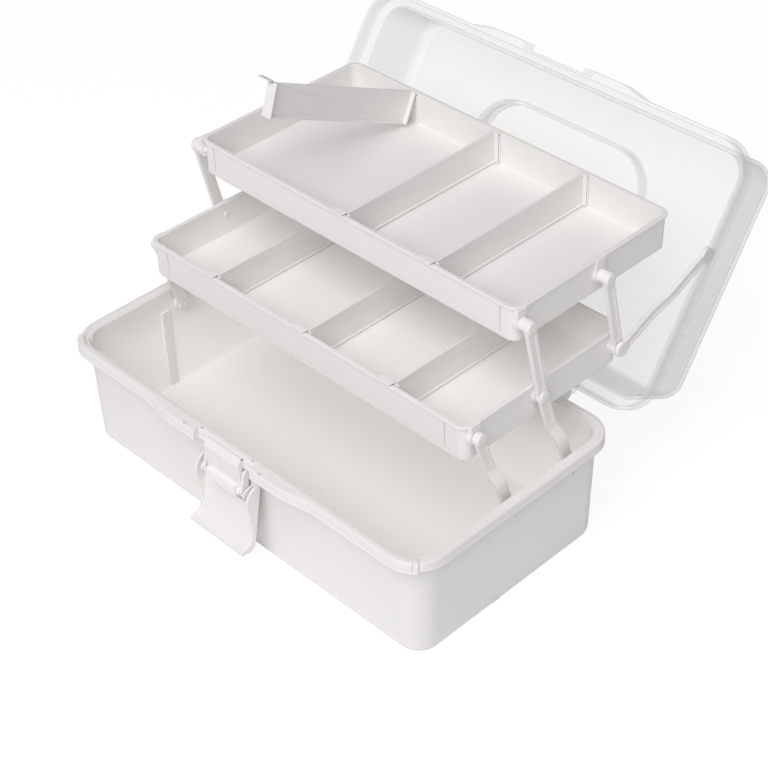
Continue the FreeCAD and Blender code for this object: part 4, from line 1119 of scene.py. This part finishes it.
# ------------------------------------------------------------------------------ lid
@dataclass
class Lid:
    """The clear lid with its flange, sunk handle bay, hinge knuckles and handle posts."""

    bottom: float = 83.4
    top: float = 144.4
    half: float = 161.8
    deep: float = 91.5
    corner: float = 24.0
    flange_height: float = 12.6
    recess_floor: float = 130.9
    swell: float = 3.6
    swell_half: float = 56.0
    swell_taper: float = 20.0
    seat_half: float = 25.6
    wall: float = 2.2
    draft: float = 3.0
    bay: tuple[float, ...] = (70.0, -53.0, 8.4, 28.0, 5.0)
    bay_middle: tuple[float, ...] = (40.0, -30.0, -10.0, 10.0, 3.0)

    def shell(self) -> Shell:
        """One skin of level loops, from under the bay through the wall to the bay's floor.

        Each row holds half length, front, back, front and back corner radius, height and
        how much of the front swell it takes.
        """
        def row(inset: float, height: float, swell: float = 0.0) -> list:
            bend = self.corner - inset
            return [self.half - inset, inset - self.deep, self.deep - inset, bend, bend, height, swell]

        slope = math.tan(math.radians(self.draft))
        ledge = self.bottom + self.flange_height
        grow = np.array([1, -1, 1, 1, 1]) * self.wall
        under_bay = np.array(self.bay) + grow
        rows = [
            [*self.bay_middle, self.recess_floor - self.wall, 0],
            [*under_bay, self.recess_floor - self.wall, 0],
            [*under_bay, self.top - self.wall, 0],
            row(6.0 + self.wall + 58.8 * slope, self.top - self.wall),
            row(6.0 + self.wall + 10.6 * slope, ledge - 2.0),
            row(2.0, ledge - 2.0),
            row(2.0, self.bottom),
            row(0.0, self.bottom, 1.0),
            row(0.0, ledge, 1.0),
            row(6.0 + self.flange_height * slope, ledge),
            row(6.0 + 61.0 * slope, self.top),
            [*self.bay, self.top, 0],
            [*self.bay, self.recess_floor, 0],
            [*self.bay_middle, self.recess_floor, 0],
        ]
        table = soften(rows, [0, 2, 2, 6.8, 0.8, 1.0, 0.4, 0.4, 1.4, 1.0, 9, 1.6, 1.6, 0], 6)
        seat, wide, end = self.seat_half, self.swell_half, self.swell_half + self.swell_taper
        right = np.array([seat - 0.06, seat + 0.06, 40, wide - 2, wide, wide + 2, 66, end - 2, end, 100])
        stops = np.concatenate([-right[::-1], [0], right])
        rings = loops(*table.T[:6], stops=stops)
        front = np.abs(rings[:, : len(stops), 0])
        outward = self.swell * (1 - ease(front, wide, end))
        outward = np.where(front < seat, -0.6, outward)
        rings[:, : len(stops), 1] -= table[:, 6:7] * outward
        return Shell(rings)

    def fittings(self) -> list:
        """Posts for the handle, hinge knuckles with their pins, and bosses for the links."""
        turn = np.radians(np.linspace(0, 180, 13))
        rest = HANDLE_PIVOT_HEIGHT
        arc = np.stack([4.6 * np.cos(turn), rest + 4.6 * np.sin(turn)], axis=1)
        post = np.vstack([[(-4.6, 130.0), (4.6, 130.0)], arc])
        along, up = LINKAGE.hinge
        knuckle = [
            (along - 3.9, up), (along - 3.4, up - 3.2), (along, up - 4.5), (along + 3.4, up - 3.2),
            (along + 5.1, up + 3.8), (self.deep + 4.5, self.bottom + 9.6),
            (self.deep - 1.5, self.bottom + 9.6),
            (self.deep - 1.5, self.bottom + 0.6), (along - 3.9, self.bottom + 0.6),
        ]
        near, far = HINGE_AT - 14.0, HINGE_AT + 14.0
        return [
            plank(post, 61, 66, 0.5, 0.2), plank(knuckle, near, far, 0.6, 1.4),
            drum(near - 3.9, far + 3.9, LINKAGE.hinge, 2.0, 0.3),
            drum(151.95, 153.8, LINKAGE.link_on_lid, PIVOT.boss),
        ]

    def build(self, shop: Workshop) -> None:
        """Makes the lid as it stands shut and turns it open."""
        shells = [self.shell()] + [on_side(part, side) for part in self.fittings() for side in Side]
        placed = [shell.turned(LINKAGE.hinge, -LINKAGE.opening) for shell in shells]
        shop.make("clear_lid", placed, "lid", CLEAR, ["lid"])


@dataclass
class Handle:
    """The carrying handle that folds into the lid's bay."""

    reach: float = 38.0
    bar: float = 13.0
    thickness: float = 8.0
    half: float = 59.0
    splay: float = 9.0

    def shells(self) -> list:
        """A rounded section with lengthwise flutes carried along the bent centre line."""
        low, top = HANDLE_PIVOT_HEIGHT, HANDLE_PIVOT_HEIGHT + self.reach - self.bar / 2
        foot, crown = self.half - self.bar / 2, self.half - self.splay - self.bar / 2
        knee = low + 0.25 * self.reach
        line = [(-foot, low), (-foot, knee), (-crown, top), (crown, top), (foot, knee), (foot, low)]
        path = soften(line, [0, 8, 12, 12, 8, 0], 8)
        halves = (self.thickness / 2, self.bar / 2)
        section = soften_loop([
            (-halves[0], -halves[1]), (halves[0], -halves[1]), (halves[0], halves[1]),
            (-halves[0], halves[1]),
        ], 2.0, 4)
        standing = ribbon(path, section).rings
        body = Shell(standing[:, ::-1][..., [1, 0, 2]])
        feet = [on_side(drum(self.half - self.bar, self.half, (0.0, low), 4.0), side) for side in Side]
        pins = [on_side(drum(self.half - 1, self.half + 5, (0.0, low), 2.0), side) for side in Side]
        return [body] + feet + pins

    def build(self, shop: Workshop) -> None:
        """Makes the handle upright on the shut lid and turns both open."""
        placed = [shell.turned(LINKAGE.hinge, -LINKAGE.opening) for shell in self.shells()]
        shop.make("carrying_handle", placed, "handle", CLEAR, ["handle"])


@dataclass
class Latch:
    """The swinging latch, worked out about its own pivot as it lies on the shut lid."""

    half: float = 25.0
    inner: float = 4.2
    outer: float = 6.0
    tail: float = 8.2
    window: float = 10.45
    flank: float = 1.7
    swing: float = 170.0
    cheek: float = 19.0

    def shells(self) -> list:
        """The plate with its rolled hook, both flanks, the window's frame, cheeks and pins."""
        half, inner, outer = self.half, self.inner, self.outer
        plate = [
            (-outer, self.window), (-inner, self.window), (-inner, 29.0), (-3.1, 34.8), (-0.4, 38.4),
            (3.0, 39.7), (5.2, 39.6), (5.2, 42.4), (-3.2, 42.4), (-outer, 38.6),
        ]
        parts = [plank(plate, -half, half, 0.6, [0.2, 0.5, 4, 2.5, 2.5, 1.5, 0.8, 0.9, 3.2, 3.2])]
        parts.append(block((-half, -outer, -self.tail), (half, -inner, -3.3), 0.6))
        flank = [
            (-outer, -self.tail), (-1.8, -7.0), (3.0, -2.8), (4.3, 4.2), (1.2, 13.7), (-2.2, 22.8),
            (-3.1, 32.0), (0.2, 37.6), (4.2, 39.3), (5.3, 39.8), (5.3, 42.5), (-3.3, 42.5),
            (-outer - 0.1, 38.6),
        ]
        turns = [1, 1.5, 3, 5, 6, 6, 4, 2, 1, 0.4, 0.8, 3.2, 3.2]
        cheek = [(-inner - 0.5, -6.0), (0.6, -3.8), (3.4, -1.4), (3.4, 1.6), (0.2, 5.2), (-inner - 0.5, 12.0)]
        for side in Side:
            sign = side.value
            parts.append(block((sign * 14, -outer + 0.05, -5), (sign * (half - 0.3), 0.05 - inner, 12), 0.5))
            parts.append(on_side(plank(flank, half - self.flank, half + 0.05, 0.4, turns), side))
            parts.append(on_side(plank(cheek, self.cheek, self.cheek + 1.6, 0.4, 1.2), side))
            parts.append(on_side(drum(self.cheek - 5, self.cheek + 1.9, (0.0, 0.0), 1.7), side))
        return parts

    def build(self, shop: Workshop) -> None:
        """Swings the latch down to its open place."""
        placed = [shell.moved(0, *LATCH_PIVOT).turned(LATCH_PIVOT, self.swing) for shell in self.shells()]
        shop.make("latch_plate", placed, "latch", WHITE, ["latch"])


# --------------------------------------------------------------------------- studio
@dataclass
class Studio:
    """A plain pale floor, an even sky, one soft light and the camera."""

    centre: tuple[float, float, float] = (0.7035, -0.6293, 0.8265)
    azimuth: float = 46.23
    elevation: float = 38.44
    roll: float = -1.62
    lens: float = 88.125
    floor_glow: float = 0.86
    sky: float = 0.32
    aim: tuple[float, float, float] = (0.0, 0.05, 0.12)

    def camera(self) -> None:
        """Sets the camera up from its azimuth, elevation and roll."""
        turn, rise, roll = (math.radians(item) for item in (self.azimuth, self.elevation, self.roll))
        back = Vector((math.sin(turn) * math.cos(rise), -math.cos(turn) * math.cos(rise), math.sin(rise)))
        right = (-back).cross(Vector((0, 0, 1))).normalized()
        up = right.cross(-back)
        right, up = (
            math.cos(roll) * right + math.sin(roll) * up, math.cos(roll) * up - math.sin(roll) * right,
        )
        data = bpy.data.cameras.new("view")
        data.lens, data.sensor_width = self.lens, 36.0
        data.clip_start, data.clip_end = 0.05, 20.0
        camera = bpy.data.objects.new("view", data)
        camera.matrix_world = Matrix((
            (right.x, up.x, back.x, self.centre[0]), (right.y, up.y, back.y, self.centre[1]),
            (right.z, up.z, back.z, self.centre[2]), (0, 0, 0, 1),
        ))
        bpy.context.scene.collection.objects.link(camera)
        bpy.context.scene.camera = camera

    def lamp(
        self, name: str, place: tuple, size: float, power: float, tint: tuple,
    ) -> None:
        """Adds one square soft light that looks at the case."""
        data = bpy.data.lights.new(name, "AREA")
        data.shape, data.size, data.energy, data.color = "SQUARE", size, power, tint
        lamp = bpy.data.objects.new(name, data)
        gaze = Vector(self.aim) - Vector(place)
        lamp.matrix_world = Matrix.Translation(place) @ gaze.to_track_quat("-Z", "Y").to_matrix().to_4x4()
        bpy.context.scene.collection.objects.link(lamp)

    def by_ray(self, tree: bpy.types.NodeTree, lights: float, shows: float) -> tuple:
        """Gives a grey that lights the case as one value and shows to the camera as another.

        Args:
            tree: the node tree that it is built in.
            lights: the grey that all other rays meet.
            shows: the grey that camera rays meet.

        Returns:
            The socket that is 1 for camera rays, and the socket of the grey.
        """
        rays, grey = tree.nodes.new("ShaderNodeLightPath"), tree.nodes.new("ShaderNodeMix")
        grey.data_type = "RGBA"
        grey.inputs["A"].default_value = (lights, lights, lights, 1.0)
        grey.inputs["B"].default_value = (shows, shows, shows, 1.0)
        tree.links.new(rays.outputs["Is Camera Ray"], grey.inputs["Factor"])
        return rays.outputs["Is Camera Ray"], grey.outputs["Result"]

    def floor(self) -> None:
        """A wide pale floor that stays pale where the case shades it."""
        mesh = bpy.data.meshes.new("floor")
        mesh.from_pydata([(-6, -6, 0), (6, -6, 0), (6, 6, 0), (-6, 6, 0)], [], [(0, 1, 2, 3)])
        floor = bpy.data.objects.new("floor", mesh)
        paint = bpy.data.materials.new("pale_floor")
        paint.use_nodes = True
        links, shader = paint.node_tree.links, paint.node_tree.nodes["Principled BSDF"]
        seen, tone = self.by_ray(paint.node_tree, 0.93, 0.2)
        links.new(tone, shader.inputs["Base Color"])
        links.new(seen, shader.inputs["Emission Color"])
        shader.inputs["Roughness"].default_value = 0.9
        shader.inputs["Specular IOR Level"].default_value = 0.1
        shader.inputs["Emission Strength"].default_value = self.floor_glow
        mesh.materials.append(paint)
        bpy.context.scene.collection.objects.link(floor)

    def world(self) -> None:
        """Makes the even sky, seen as a white backdrop beyond the floor."""
        world = bpy.data.worlds.new("studio_sky")
        world.use_nodes = True
        tree = world.node_tree
        tree.links.new(self.by_ray(tree, self.sky, 1.0)[1], tree.nodes["Background"].inputs["Color"])
        bpy.context.scene.world = world

    def build(self) -> None:
        """Sets up everything round the case."""
        bpy.context.scene.view_settings.view_transform = "Standard"
        self.camera()
        self.floor()
        self.world()
        self.lamp("key", (0.63, -1.50, 2.11), 2.0, 47.0, (1.0, 0.985, 0.99))


def main() -> None:
    """Builds the case piece by piece."""
    logging.basicConfig(level=logging.INFO, format="%(message)s")
    shop = Workshop()
    Studio().build()
    Tub().build(shop)
    lower = Tray(
        "lower_tray", 142.0, 70.5, 26.0, -29.12, 112.46,
        ((-61.3, 17.0), (-6.6, 17.0), (62.6, 15.3)), (-78.4, 6.3, 81.2), LOWER_WHITE_PAINTED_GLOW,
    )
    upper = Tray(
        "upper_tray", 138.4, 70.75, 25.0, 16.85, 171.99,
        ((-66.15, 15.2), (3.05, 13.5)), (-79.6, -4.5, 70.6),
    )
    for tray in (lower, upper):
        tray.build(shop)
        for word, place in zip(("left", "middle", "right"), tray.divider_places):
            level = tray.name.split("_")[0]
            raised = level == "upper" and word == "left"
            Divider(f"{level}_divider_{word}", place, tray, -25.0 if raised else 0.0).build(shop)
    Arms().build(shop)
    Lid().build(shop)
    Handle().build(shop)
    Latch().build(shop)


if __name__ == "__main__":
    main()
